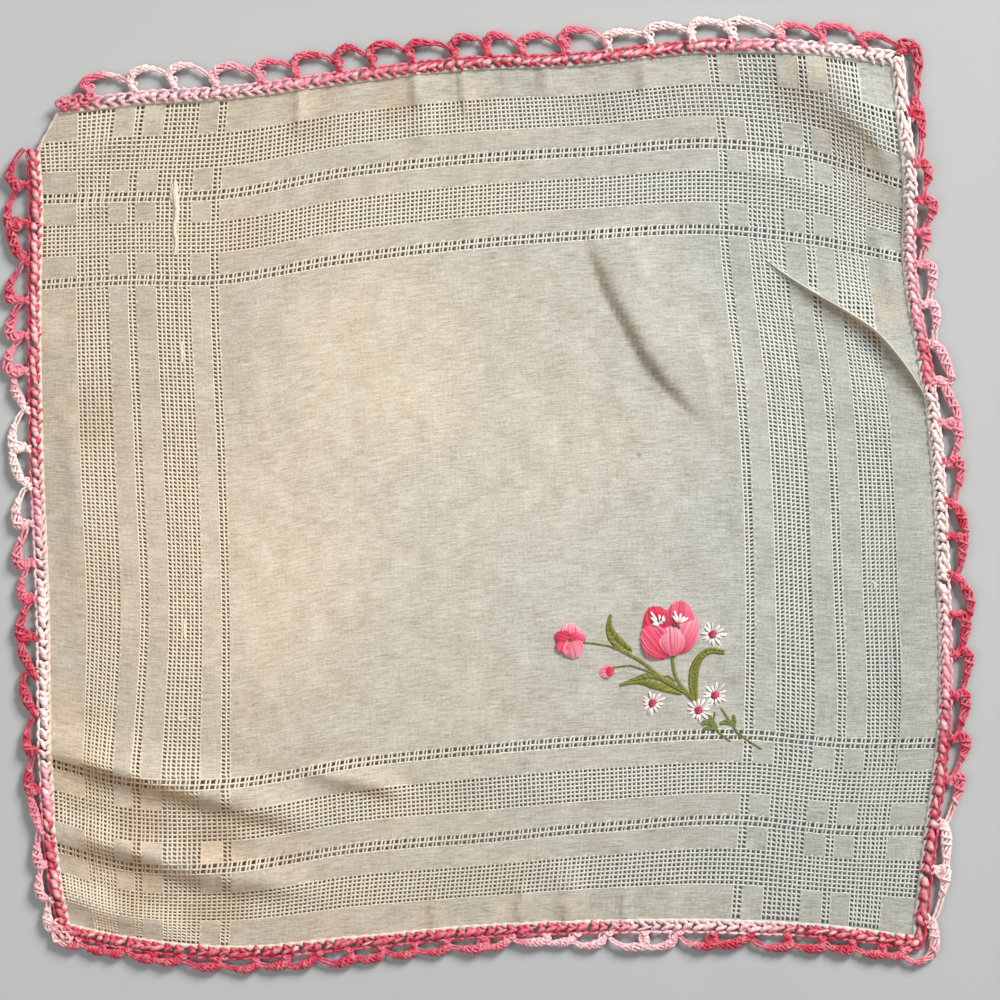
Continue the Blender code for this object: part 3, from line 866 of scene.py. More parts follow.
def linen_panels(material):
    """The plain cloth between the openwork stripes, and the hem, as one thin closed sheet."""
    across = grid_lines(STRIPES_UP, CLOTH_WIDTH / 2.0, PANEL_STEP)
    up = grid_lines(STRIPES_ACROSS, CLOTH_DEPTH / 2.0, PANEL_STEP)
    mesh = bmesh.new()
    layer = mesh.verts.layers.float_vector.new("flat")
    flat_x, flat_y = [part.ravel() for part in np.meshgrid(across, up, indexing="ij")]
    # the third part of each flat place is the painted slope shade
    flats = np.stack((flat_x, flat_y, painted_slope_shade(flat_x, flat_y)), axis=-1)
    for x, y, flat in zip(*lie(flat_x, flat_y), flats):
        vert = mesh.verts.new((x, y, 0.0))
        vert[layer] = flat
    mesh.verts.ensure_lookup_table()
    middle_x, middle_y = (across[1:] + across[:-1]) / 2.0, (up[1:] + up[:-1]) / 2.0
    open_x, open_y = in_stripe(middle_x, STRIPES_UP), in_stripe(middle_y, STRIPES_ACROSS)
    hem_x = np.abs(middle_x) > CLOTH_WIDTH / 2.0 - HEM
    hem_y = np.abs(middle_y) > CLOTH_DEPTH / 2.0 - HEM
    rows = len(up)
    for i in range(len(middle_x)):
        for j in range(len(middle_y)):
            if (open_x[i] or open_y[j]) and not (hem_x[i] or hem_y[j]):
                continue
            corner = i * rows + j
            mesh.faces.new([mesh.verts[corner], mesh.verts[corner + rows],
                            mesh.verts[corner + rows + 1], mesh.verts[corner + 1]])
    loose = [vert for vert in mesh.verts if not vert.link_faces]
    bmesh.ops.delete(mesh, geom=loose, context="VERTS")
    normal = (*fold_normal(), 0.0)
    for cut in range(ROLL_CUTS + 1):
        away = math.pi * ROLL_RADIUS * cut / ROLL_CUTS
        point = (FOLD_LINE[0][0] + normal[0] * away, FOLD_LINE[0][1] + normal[1] * away, 0.0)
        geometry = mesh.verts[:] + mesh.edges[:] + mesh.faces[:]
        bmesh.ops.bisect_plane(mesh, geom=geometry, dist=0.0001, plane_co=point, plane_no=normal)
    plan = np.array([(vert.co.x, vert.co.y) for vert in mesh.verts])
    for vert, world in zip(mesh.verts, on_cloth(plan[:, 0], plan[:, 1], np.zeros(len(plan)))):
        vert.co = world
    data = bpy.data.meshes.new("linen")
    mesh.to_mesh(data)
    mesh.free()
    data.materials.append(material)
    data.shade_smooth()
    piece = add_object("linen", data)
    solid = piece.modifiers.new("thickness", "SOLIDIFY")
    solid.thickness = LINEN_THICKNESS * MM
    solid.offset = 1.0
    thick = worked_mesh(piece)
    piece.modifiers.remove(solid)
    piece.data = thick
    thick.set_sharp_from_angle(angle=math.radians(50.0))
    return piece


BUNDLE_WIDTH = 0.83
BUNDLE_FLATNESS = 0.42
WEAVE_RISE = 0.03
BUNDLE_TUCK = 0.5
HEM_TUCK = 1.2
END_RISE = -0.04
END_WIDTH = BUNDLE_WIDTH * 0.7
PAIR_PINCH = 0.15
PAIR_LEAN = 0.26
WIDE_PINCH = 0.06
ROW_SLANT = 0.015
COLUMN_PINCH = 0.08
BAR_OVERLAP = 0.20
# Half the fall of the cross yarns between two uprights, by height up the left and right stripes
SLANTS_LEFT = ((-133.0, 0.38), (-60.0, 0.30), (0.0, 0.42), (60.0, 0.28), (133.0, 0.15))
SLANTS_RIGHT = ((-133.0, 0.28), (-62.0, 0.34), (-47.0, -0.33), (-18.0, -0.38), (4.0, 0.05),
                (30.0, 0.42), (80.0, 0.40), (133.0, 0.25))
YARN_WANDER = 0.035


def spans_of(owners):
    """The stripes' spans in a direction's yarn lines: first and last line number of each."""
    return [(np.flatnonzero(owners == number)[0], np.flatnonzero(owners == number)[-1])
            for number in range(owners.max() + 1)]


def yarn_paths(owners, crossings, crossing_owners, hem_end):
    """For every yarn bundle, the runs of crossings that it shows at."""
    spans = spans_of(crossing_owners)
    for number, owner in enumerate(owners):
        if owner >= 0:
            yield number, 0, len(crossings) - 1, hem_end
        else:
            for first, last in spans:
                yield number, first, last, None


def cross_bars(line, columns):
    """The short slanting lengths of one cross yarn that show between the uprights of a stripe."""
    side = SLANTS_RIGHT if columns[0] > 0.0 else SLANTS_LEFT
    fall = float(np.interp(line, *zip(*side))) * rng.uniform(0.8, 1.2)
    for start, end in zip(columns, columns[1:]):
        high, low = rng.normal(0.0, YARN_WANDER, 2)
        yield (start - BAR_OVERLAP, line + fall + high), (end + BAR_OVERLAP, line - fall + low)
    yield (columns[0] + BUNDLE_TUCK * 0.5, line), (columns[0] - BUNDLE_TUCK, line)
    yield (columns[-1] - BUNDLE_TUCK * 0.5, line), (columns[-1] + BUNDLE_TUCK, line)


def add_cross_bars(strands, bars):
    """Add short lengths of yarn, each given by the flat cloth's points at its two ends."""
    ends = np.array(bars).reshape(-1, 2)
    places = place(ends[:, 0], ends[:, 1], LINEN_THICKNESS / 2.0 - 0.02).reshape(-1, 2, 3)
    flats = flat_points(ends[:, 0], ends[:, 1]).reshape(-1, 2, 3)
    for bar, flat in zip(places, flats):
        strands.add(bar, flat=flat, girth=BUNDLE_WIDTH * rng.uniform(0.86, 1.08, 2) * MM)


def openwork(name, upright, material):
    """The yarn bundles of one direction, woven over and under those of the other."""
    lines, owners = (COLUMNS, COLUMN_STRIPES) if upright else (ROWS, ROW_STRIPES)
    crossings, crossing_owners = (ROWS, ROW_STRIPES) if upright else (COLUMNS, COLUMN_STRIPES)
    half = (CLOTH_DEPTH if upright else CLOTH_WIDTH) / 2.0
    narrow = [number for number, (first, last) in enumerate(spans_of(crossing_owners))
              if last - first < 4]
    strands = Lines(**LINEN_FIELDS)
    bars = []
    for number, first, last, hem_end in yarn_paths(owners, crossings, crossing_owners, half):
        if not upright and owners[number] < 0:
            bars += cross_bars(lines[number], crossings[first:last + 1])
            continue
        steps = np.arange(first, last + 1)
        along = crossings[steps].copy()
        aside = np.full(len(steps), lines[number])
        sign = 1.0 if number % 2 else -1.0
        rise = np.where((steps + number) % 2 == 0, 1.0, -1.0) * WEAVE_RISE * (1 if upright else -1)
        girth = np.full(len(steps), BUNDLE_WIDTH)
        step_owner = crossing_owners[steps]
        if upright:
            in_narrow = np.isin(step_owner, narrow)
            position = np.array([np.flatnonzero(np.flatnonzero(crossing_owners == owner) == step)[0]
                                 - 1.0 if owner in narrow else 0.0
                                 for owner, step in zip(step_owner, steps)])
            column = sign * COLUMN_PINCH if owners[number] >= 0 else 0.0
            aside = aside + np.where(in_narrow, sign * PAIR_PINCH + position * PAIR_LEAN,
                                     np.where(step_owner >= 0, sign * WIDE_PINCH, column))
        else:
            slant = np.where(steps % 2 == 0, ROW_SLANT, -ROW_SLANT)
            aside = aside + np.where(step_owner >= 0, slant, 0.0)
        aside = aside + rng.normal(0.0, YARN_WANDER, len(steps))
        along = along + rng.normal(0.0, YARN_WANDER * 0.6, len(steps))
        girth = girth * rng.uniform(0.88, 1.12, len(steps))
        ends = (along[0] - BUNDLE_TUCK, along[-1] + BUNDLE_TUCK)
        if hem_end:
            ends = (HEM_TUCK - hem_end, hem_end - HEM_TUCK)
        along = np.concatenate(([ends[0]], along, [ends[1]]))
        aside = np.concatenate(([aside[0]], aside, [aside[-1]]))
        rise = np.concatenate(([END_RISE], rise, [END_RISE]))
        girth = np.concatenate(([END_WIDTH], girth, [END_WIDTH]))
        flat_x, flat_y = (aside, along) if upright else (along, aside)
        strands.add(place(flat_x, flat_y, LINEN_THICKNESS / 2.0 + rise),
                    flat=flat_points(flat_x, flat_y), girth=girth * MM)
    if bars:
        add_cross_bars(strands, bars)
    return sweep(strands, name, 4, BUNDLE_FLATNESS, material)


# ------------------------------------------------------------------ the crochet

EDGE_START = 7.5
EDGE_END = 12.0
REACH = {
    # side: reach of the loops past the heading, at even stations from the side's start to its end
    "top": (7.3, 7.3, 6.8, 6.3, 6.3, 6.6, 5.2),
    "right": (5.3, 5.0, 6.0, 6.0, 6.3, 5.0, 3.8),
    "bottom": (3.4, 4.0, 4.5, 3.3, 4.0, 4.0, 2.4, 3.0),
    "left": (3.2, 3.4, 4.6, 5.6, 5.9, 6.0, 7.2),
}
LOOP_LINE = 4.0
LOOP_BASE = 3.2
HEADING_LINE = 2.0
HEADING_PITCH = 3.3
LOOP_PITCHES = {"top": 12.7, "right": 12.5, "bottom": 10.4, "left": 12.4}
# Ways that a loop runs from one anchor to the next: along the pitch, and out along its reach
LOOP_COURSES = {
    "top": ((0.05, 0.0), (-0.08, 0.34), (-0.12, 0.70), (0.06, 0.97), (0.33, 1.0), (0.62, 0.84),
            (0.85, 0.46), (1.0, 0.02)),
    "right": ((0.12, 0.0), (0.08, 0.24), (-0.02, 0.55), (0.03, 0.90), (0.20, 1.02), (0.46, 0.92),
              (0.76, 0.68), (0.98, 0.46), (1.10, 0.05)),
    "bottom": ((0.02, 0.0), (-0.06, 0.45), (0.04, 0.86), (0.26, 1.0), (0.54, 0.98), (0.80, 0.74),
               (0.98, 0.30), (1.06, 0.0)),
    "left": ((0.10, 0.0), (0.04, 0.26), (-0.06, 0.58), (0.03, 0.92), (0.22, 1.02), (0.48, 0.92),
             (0.78, 0.60), (0.98, 0.30), (1.08, 0.05)),
}
YARN = 0.92
# How loosely the bundles of the loops spread on each side, and how often a loop is worked backwards
SPREADS = {"top": 1.0, "right": 1.35, "bottom": 1.15, "left": 1.3}
TURNED = {"top": 0.0, "right": 0.3, "bottom": 0.25, "left": 0.35}


def edge_sides(offset):
    """The straight sides and round corners of a line outside the hem, clockwise from the top left."""
    half_width, half_depth = CLOTH_WIDTH / 2.0, CLOTH_DEPTH / 2.0
    quarter = math.pi / 2.0 * offset
    return (
        ("top", (-half_width + EDGE_START, half_depth), math.pi / 2.0, CLOTH_WIDTH - EDGE_START),
        ("corner", (half_width, half_depth), math.pi / 2.0, quarter),
        ("right", (half_width, half_depth), 0.0, CLOTH_DEPTH),
        ("corner", (half_width, -half_depth), 0.0, quarter),
        ("bottom", (half_width, -half_depth), -math.pi / 2.0, CLOTH_WIDTH),
        ("corner", (-half_width, -half_depth), -math.pi / 2.0, quarter),
        ("left", (-half_width, -half_depth), -math.pi, CLOTH_DEPTH - EDGE_END),
    )


def edge_length(offset):
    """Length of the line that runs outside the hem."""
    return sum(length for *_, length in edge_sides(offset))


def edge_place(travelled, offset, outwards):
    """Place in the flat, outwards from the hem, and the loops' reach, after a way round the edge."""
    last_side = "top"
    sides = edge_sides(offset)
    for number, (side, start, angle, length) in enumerate(sides):
        if travelled <= length or number == len(sides) - 1:
            break
        travelled -= length
        last_side = side if side != "corner" else last_side
    if side == "corner":
        angle -= travelled / offset
        spot = (start[0] + outwards * math.cos(angle), start[1] + outwards * math.sin(angle))
        return spot, REACH[last_side][-1]
    spot = (start[0] + travelled * math.sin(angle) + outwards * math.cos(angle),
            start[1] - travelled * math.cos(angle) + outwards * math.sin(angle))
    part = min(max(travelled / length, 0.0), 1.0) * (len(REACH[side]) - 1)
    return spot, float(np.interp(part, range(len(REACH[side])), REACH[side]))


def side_at(travelled, offset):
    """Name of the side that a way round the edge has come to."""
    last_side = "top"
    for side, _, _, length in edge_sides(offset):
        if side != "corner":
            last_side = side
        if travelled <= length:
            break
        travelled -= length
    return last_side


def edge_points(ways, outwards, above, offset):
    """World places along the edge, for ways travelled, distances outwards and heights."""
    spots = np.array([edge_place(way, offset, out)[0] for way, out in zip(ways, outwards)])
    return place(spots[:, 0], spots[:, 1], above, rolled=False)


def eased(points, count):
    """A smooth line through a few given points."""
    points = np.asarray(points, float)
    stations = np.arange(len(points), dtype=float)
    at = np.linspace(0.0, len(points) - 1.0, count)
    columns = [smooth(stations, points[:, axis], at) for axis in range(points.shape[1])]
    return np.stack(columns, axis=-1)


DYE_DRIFT = 2.0


def add_yarn(lines, points, girth, offset, whole, glint=0.0):
    """Add a strand given in the edge's own terms: way along, outwards, and height above."""
    points = np.asarray(points, float)
    twist = lengths_along(points) + points[0, 0]
    share = np.clip(points[:, 0] + rng.normal(0.0, DYE_DRIFT), 0.0, whole) / whole
    lines.add(edge_points(points[:, 0], points[:, 1], points[:, 2], offset),
              girth=np.asarray(girth, float) * MM, along=share, twist=twist, glint=glint)


# Stretches of the edge where the heading's stitches get a painted highlight at their middles
HIGHLIGHT_STRETCHES = ((0.0, 0.1), (0.10, 0.15), (0.115, 0.85), (0.19, 0.85), (0.21, 0.2), (0.44, 0.15),
          (0.46, 0.45), (0.54, 0.45), (0.58, 0.1), (0.75, 0.25), (0.80, 0.25), (0.88, 0.2),
          (0.90, 0.95), (1.0, 0.95))


HEAD_SWELL = {"top": 0.98, "right": 1.18, "bottom": 0.95, "left": 1.12}
HEAD_GIRTH = 1.55
CURL_POINTS = 12
# The cotton's loose end: its course in plan (millimetres), and how far round the edge it is worked
TAIL = ((-80.5, -140.6), (-84.7, -143.3), (-87.2, -145.6), (-90.2, -145.9))
TAIL_SHARE = 0.711
TAIL_GIRTH = 0.62
TAIL_HEIGHT = 0.3
TAIL_POINTS = 12


def add_curl(lines, middle, radius, tilt, turned, start, girth, whole, glint=0.0):
    """A stitch drawn up into a curl: its middle, radius, tilt, share of a turn and starting angle."""
    turn = np.linspace(0.0, 2.0 * math.pi * turned, CURL_POINTS)
    curl = np.stack((middle[0] + radius * np.cos(turn + start), middle[1] + np.sin(turn + start),
                     middle[2] + tilt * np.sin(turn)), axis=-1)
    add_yarn(lines, curl, np.full(CURL_POINTS, girth), HEADING_LINE, whole, glint)


def crochet_heading(material):
    """Slanting stitches worked over the hem, and the cord of their heads."""
    lines = Lines(**YARN_FIELDS)
    whole = edge_length(HEADING_LINE)
    count = round(whole / HEADING_PITCH)
    pitch = whole / count
    for number in range(count):
        way = (number + 0.3) * pitch + rng.normal(0.0, 0.26)
        lean = 1.0 + chance(0.0, 0.30, -0.6, 0.6)
        swell = HEAD_SWELL[side_at(way, HEADING_LINE)] + chance(0.0, 0.2, -0.38, 0.35)
        shift = rng.normal(0.0, 0.22)
        drop = chance(-0.45, 0.35, -1.0, 0.1)
        head = eased(((way - 1.6 * lean, 0.75 + shift, 0.95), (way - 0.4, 1.0 + shift, 1.30),
                      (way + 0.9 * lean, 1.45 + shift, 1.40), (way + 1.9 * lean, 2.2, 1.15)), 8)
        shape = (0.45 + 0.55 * np.sin(np.linspace(0.20, 2.90, 8))) * HEAD_GIRTH * swell
        # painted highlight: each stitch's head is paler towards its middle, more along the stretches
        # above and on some stitches at random
        bare = np.interp(way / whole, *zip(*HIGHLIGHT_STRETCHES)) * rng.uniform(0.5, 1.15)
        bare += rng.uniform(0.3, 0.8) if rng.random() < 0.3 else 0.0
        glint = bare * np.sin(np.linspace(0.0, math.pi, 8)) ** 2
        add_yarn(lines, head, shape, HEADING_LINE, whole, glint)
        leg = eased(((way - 0.9, 1.5, 0.85), (way + 0.1, 0.8, 1.20),
                     (way + 0.9 * lean, 0.1 + drop * 0.1, 1.05), (way + 1.5 * lean, drop, 0.55)), 7)
        add_yarn(lines, leg, (1.0, 1.2, 1.3, 1.3, 1.2, 1.05, 0.75), HEADING_LINE, whole)
        under = eased(((way - 0.2, 2.2, 0.5), (way + 0.6, 1.2, 0.05), (way + 1.4, -1.0, 0.02)), 5)
        add_yarn(lines, under, (0.9, 1.1, 1.0, 0.6, 0.4), HEADING_LINE, whole)
        rise = eased(((way - 0.1, 1.5, 0.7), (way + 0.8, 2.1, 0.75), (way + 1.5, 2.8, 0.8)), 5)
        add_yarn(lines, rise, (0.9, 1.1, 1.1, 0.95, 0.8), HEADING_LINE, whole)
    ways = np.arange(0.2, whole, pitch / 4.0)
    beat = np.cos((ways / pitch - 0.3) * 2.0 * math.pi)
    outs = 2.95 + 0.14 * beat + rng.normal(0.0, 0.07, len(ways))
    cord = np.stack((ways, outs, 0.85 + 0.12 * beat), axis=-1)
    add_yarn(lines, cord, 0.98 + 0.14 * beat, HEADING_LINE, whole)
    # the thick knot of turned stitches at the bottom left corner
    corner_way = CLOTH_WIDTH * 2.0 + CLOTH_DEPTH - EDGE_START + math.pi * 1.25 * HEADING_LINE
    for number in range(7):
        middle = (corner_way + (number - 3.0) * 1.05, 2.6 + 1.1 * (number % 2),
                  1.3 + 0.3 * (number % 3))
        add_curl(lines, middle, 1.05, 0.25, 0.95, number, YARN, whole, 0.9)
    # stitches drawn up into curls where the edging starts beside the corner folded under
    for number in range(6):
        middle = (0.4 + number * 1.75, 2.4 + 0.9 * (number % 2), 1.5 + 0.3 * (number % 3))
        add_curl(lines, middle, 1.2, 0.3, 0.9, number * 2.0, YARN * 1.1, whole)
    # the fastened-off end of the cotton lies loose past the bottom edge
    x, y = eased(TAIL, TAIL_POINTS).T
    lines.add(on_cloth(x, y, np.full(TAIL_POINTS, TAIL_HEIGHT), rolled=False),
              girth=TAIL_GIRTH * MM, along=TAIL_SHARE, twist=np.linspace(0.0, 11.0, TAIL_POINTS),
              glint=0.0)
    return sweep(lines, "crocheted_heading", 6, 1.0, material)


FIRST_ANCHOR = 8.6
LAST_LOOP = 15.0


def loop_anchors():
    """Ways round the edge at which the loops are fastened down."""
    whole = edge_length(LOOP_LINE)
    ways = [FIRST_ANCHOR]
    while ways[-1] < whole - LAST_LOOP:
        pitch = LOOP_PITCHES[side_at(ways[-1], LOOP_LINE)]
        ways.append(ways[-1] + pitch * (1.0 + chance(0.0, 0.07, -0.15, 0.15)))
    return ways + [whole - 1.0]


# Girth of a loop's bundle of yarns along its plump run
PLUMP = ((0.0, 0.42), (0.14, 0.75), (0.32, 1.0), (0.62, 0.92), (0.85, 0.66), (1.0, 0.52))
BUNDLE_RADIUS = 1.02
BUNDLE_HEIGHT = 0.62
BUNDLE_YARNS = 5
BARE_YARNS = 2
BARE_APART = 0.46
BARE_CLOSING = 0.2
LOOP_RISE = 1.0
BODY_START = 0.12


class Course:
    """The way that one loop runs between two anchors, for the yarns laid beside it."""

    def __init__(self, start, span):
        side = side_at(start + span / 2.0, LOOP_LINE)
        self.spread = SPREADS[side] * rng.uniform(0.88, 1.12)
        course = np.array(LOOP_COURSES[side])
        if rng.random() < TURNED[side]:
            course = course[::-1] * (-1.0, 1.0) + (1.08, 0.0)
        course = course + rng.normal(0.0, 0.035, course.shape)
        reach = edge_place(start + span / 2.0, LOOP_LINE, LOOP_BASE)[1]
        reach *= 1.0 + chance(0.0, 0.10, -0.2, 0.2)
        outs = LOOP_BASE + 0.2 + course[:, 1] * (reach - 0.1 - 0.6 * self.spread)
        self.route = eased(np.stack((start + course[:, 0] * span, outs), axis=-1), 60)
        self.passed = lengths_along(self.route)
        self.length = self.passed[-1]
        slopes = np.gradient(self.route, self.passed, axis=0)
        self.slopes = slopes / np.linalg.norm(slopes, axis=1)[:, None]
        self.body_start = self.length * BODY_START
        self.body_end = self.length * rng.uniform(0.54, 0.70)

    def beside(self, distances, aside, above):
        """Points beside the course, at distances along it."""
        ways, outs, lean_way, lean_out = [
            np.interp(distances, self.passed, rows[:, axis])
            for rows in (self.route, self.slopes) for axis in (0, 1)]
        return np.stack((ways - lean_out * aside, outs + lean_way * aside,
                         np.broadcast_to(above, ways.shape)), axis=-1)

    def bundle_yarn(self, number, turns, first_angle):
        """One yarn of a loop's plump run; the first two go on as its bare strands."""
        bare_after = number < BARE_YARNS
        stop = self.length + 0.3 if bare_after else self.body_end + rng.uniform(0.2, 1.2)
        at = np.linspace(self.body_start * 0.4, stop, 22 if bare_after else 14)
        share = np.clip((at - self.body_start) / (self.body_end - self.body_start), 0.0, 1.0)
        bare = np.clip((at - self.body_end) / (self.length - self.body_end + 0.3), 0.0, 1.0)
        radius = np.interp(share, *zip(*PLUMP)) * BUNDLE_RADIUS
        angle = first_angle + number * math.pi * 0.4 + turns * 2.0 * math.pi * share
        aside = radius * self.spread * np.cos(angle)
        rise = radius * BUNDLE_HEIGHT * np.sin(angle)
        side = 1.0 if number else -1.0
        loose = np.clip(bare * 5.0, 0.0, 1.0) if bare_after else 0.0
        apart = BARE_APART * self.spread - BARE_CLOSING * bare
        aside = aside * (1.0 - loose) + apart * side * loose
        rise = rise * (1.0 - loose) + 0.12 * loose * side
        aside = aside + rng.normal(0.0, 0.06, len(at))
        girth = YARN * (1.16 - 0.28 * np.maximum(share, loose)) * rng.uniform(0.94, 1.06)
        return self.beside(at, aside, LOOP_RISE + rise), girth

    def wrap(self, part, width):
        """A yarn wrapped over the plump run, a share of the way along it."""
        middle = self.body_start + (self.body_end - self.body_start) * (part + rng.normal(0.0, 0.04))
        width *= 0.5 + 0.5 * self.spread
        swing = np.linspace(-2.5, 2.5, 11)
        return self.beside(middle + swing * rng.uniform(0.35, 0.7), width * np.sin(swing),
                           LOOP_RISE + 0.78 * width * np.cos(swing))


# Yarns wrapped over a loop: share of the way along its plump run, and width (millimetres)
WRAPS = ((0.10, 0.86), (0.34, 1.16), (0.60, 1.14), (0.94, 0.80))
FOOT_ASIDE = (0.75, 0.72, 0.62, 0.5, 0.4, 0.2)


def crochet_loops(material):
    """Loops between anchors: a ring, a plump twisted run, then two bare strands."""
    lines = Lines(**YARN_FIELDS)
    whole = edge_length(LOOP_LINE)
    anchors = loop_anchors()
    for start, end in zip(anchors, anchors[1:]):
        course = Course(start, end - start)
        turns = rng.uniform(0.8, 1.25)
        first_angle = rng.uniform(0.0, 2.0 * math.pi)
        for number in range(BUNDLE_YARNS):
            points, girth = course.bundle_yarn(number, turns, first_angle)
            add_yarn(lines, points, np.broadcast_to(girth, len(points)), LOOP_LINE, whole)
        for part, width in WRAPS:
            add_yarn(lines, course.wrap(part, width), np.full(11, YARN * 0.86), LOOP_LINE, whole)
        for side in (-1.0, 1.0):
            foot = course.beside(np.linspace(0.0, course.body_start + 0.9, 6),
                                 np.array(FOOT_ASIDE) * side, 0.8)
            foot[0] = (start + side * 0.9, 2.5, 1.0)
            add_yarn(lines, foot, np.full(6, YARN), LOOP_LINE, whole)
        turn = np.linspace(0.0, 2.0 * math.pi * 1.08, 11)
        ring = course.beside(course.body_start * 0.9 + 0.75 * np.cos(turn),
                             -1.15 + 0.75 * np.sin(turn), 0.95 + 0.15 * np.cos(turn))
        add_yarn(lines, ring, np.full(11, YARN * 0.78), LOOP_LINE, whole)
        knot = ((start - 1.1, LOOP_BASE - 0.3, 1.0), (start - 0.3, LOOP_BASE + 0.5, 1.5),
                (start + 0.5, LOOP_BASE + 0.35, 1.5), (start + 1.2, LOOP_BASE - 0.4, 1.0))
        add_yarn(lines, eased(knot, 7), np.full(7, YARN), LOOP_LINE, whole)
    return sweep(lines, "crocheted_loops", 6, 1.0, material)


HEM_BUMPS = 4
HEM_BEAT = 0.92
CORNER_POINTS = 24


def hem_roll(material):
    """The rolled hem, swelling between the stitches that gather it."""
    lines = Lines(**LINEN_FIELDS)
    whole = edge_length(HEADING_LINE)
    pitch = whole / round(whole / HEADING_PITCH)
    ways = np.arange(0.4, whole - 0.4, pitch / HEM_BUMPS)
    beat = 0.5 + 0.5 * np.cos((ways / pitch - HEM_BEAT) * 2.0 * math.pi)
    spots = np.array([edge_place(way, HEADING_LINE, out)[0]
                      for way, out in zip(ways, 0.40 * beat - 0.60)])
    girth = (0.8 + 1.35 * beat + rng.normal(0.0, 0.10, len(ways))) * MM
    lines.add(place(spots[:, 0], spots[:, 1], 0.28 + 0.14 * beat, rolled=False),
              flat=flat_points(spots[:, 0], spots[:, 1]), girth=girth)
    # the thick edge of the corner folded under
    left, top = -CLOTH_WIDTH / 2.0, CLOTH_DEPTH / 2.0
    ends_x, ends_y = lie(np.array((left + EDGE_START, left)), np.array((top, top - EDGE_END)))
    part = np.linspace(0.0, 1.0, CORNER_POINTS)
    x = ends_x[0] + (ends_x[1] - ends_x[0]) * part
    y = ends_y[0] + (ends_y[1] - ends_y[0]) * part
    past, (out_x, out_y) = past_fold(x, y) - 0.35, fold_normal()
    folded = on_cloth(x - out_x * past, y - out_y * past, np.full(CORNER_POINTS, -0.3), rolled=False)
    lines.add(folded, flat=flat_points(x, y), girth=(1.9 + 0.25 * np.sin(part * 19.0)) * MM)
    return sweep(lines, "rolled_hem", 6, 0.55, material)


# ------------------------------------------------------------------ the embroidered spray

# Everything in the spray is in millimetres from the point where its stems meet
SPRAY_AT = (62.6, -62.8)
FLOSS = 0.42
DEEP_ROSE = (colour(200, 44, 74), colour(214, 72, 102))
ROSE = (colour(216, 84, 112), colour(228, 122, 146))
BLUSH = (colour(232, 142, 162), colour(238, 178, 190))
WHITE = (colour(240, 234, 230), colour(226, 216, 212))
HEART = (colour(164, 44, 78), colour(186, 70, 102))
OLIVE = (colour(92, 98, 28), colour(150, 148, 72))
SAGE = (colour(100, 110, 52), colour(142, 146, 92))
STAMEN = (colour(104, 88, 40), colour(134, 118, 62))

# Petals laid one over another: foot, way it points (degrees from up, to the right), length, width,
# colours at the foot and the tip, and layer
TULIP_PETALS = (
    ((-9.4, 19.4), -19.0, 10.2, 9.6, DEEP_ROSE, DEEP_ROSE, 0),
    ((-4.8, 20.0), 6.0, 10.9, 9.4, DEEP_ROSE, ROSE, 0),
    ((-4.5, 14.6), 23.0, 12.4, 7.8, DEEP_ROSE, BLUSH, 1),
    ((-8.0, 13.4), -36.0, 11.6, 10.0, DEEP_ROSE, ROSE, 2),
    ((-6.4, 13.6), -3.0, 9.2, 8.2, ROSE, BLUSH, 3),
)
# White stitches that fan inside the rear petals: middle of the fan, turn, and spread (degrees)
TULIP_HEARTS = (((-10.2, 22.9), -26.0, 56.0, 7), ((-4.6, 23.5), 12.0, 48.0, 7))
STAMENS = ((-10.9, 24.6), (-10.0, 24.9), (-9.2, 24.2), (-5.6, 24.2), (-4.9, 23.4), (-4.4, 22.6),
           (-5.9, 23.2))
BUD_PETALS = (
    ((-38.2, 18.9), 8.0, 4.9, 6.0, ROSE, BLUSH, 0),
    ((-37.6, 18.2), -72.0, 5.6, 5.2, DEEP_ROSE, DEEP_ROSE, 1),
    ((-38.8, 18.8), 84.0, 5.6, 4.4, DEEP_ROSE, ROSE, 1),
    ((-37.9, 19.0), 168.0, 6.2, 7.0, ROSE, BLUSH, 2),
    ((-39.6, 18.2), 208.0, 4.2, 4.0, DEEP_ROSE, ROSE, 2),
)
BUD_HEART = (-38.0, 18.6)
SMALL_BUD_PETALS = (
    ((-25.0, 9.4), -108.0, 4.4, 4.0, ROSE, BLUSH, 0),
    ((-24.6, 9.0), -96.0, 2.9, 2.8, DEEP_ROSE, DEEP_ROSE, 1),
)
# Daisies: middle, length of the petals, turn
DAISIES = (
    ((6.0, 20.3), 3.9, 5.0),
    ((-12.7, -1.0), 3.8, 12.0),
    ((1.6, -3.2), 4.0, 0.0),
    ((6.8, 1.5), 4.1, 9.0),
)
DAISY_PETALS = 13
# Stems: their course, and how thick they are at the start and end
STEMS = (
    (((-34.2, 18.0), (-28.4, 17.2), (-24.2, 16.2), (-20.0, 14.2), (-15.8, 11.8), (-12.4, 9.0),
      (-9.4, 6.4), (-5.8, 4.2), (-2.6, 2.6), (0.0, 0.0)), 0.6, 1.3),
    (((-25.2, 10.0), (-19.8, 10.7), (-17.4, 10.1), (-14.6, 9.2), (-11.6, 8.0)), 0.5, 0.7),
    (((-6.4, 14.0), (-6.2, 11.0), (-5.6, 8.0), (-4.2, 5.2), (-1.8, 2.2), (0.2, 0.0)), 0.8, 1.0),
    (((-10.0, 7.0), (-7.6, 7.4), (-5.6, 5.8)), 0.5, 0.5),
    (((6.8, -3.6), (6.4, -7.0), (8.0, -10.0), (11.6, -12.8)), 0.6, 0.5),
    (((8.6, -2.4), (11.2, -6.2), (13.6, -9.8), (14.8, -12.0)), 0.6, 0.6),
    (((12.8, -9.2), (16.6, -12.2), (21.2, -15.2)), 0.6, 0.35),
)
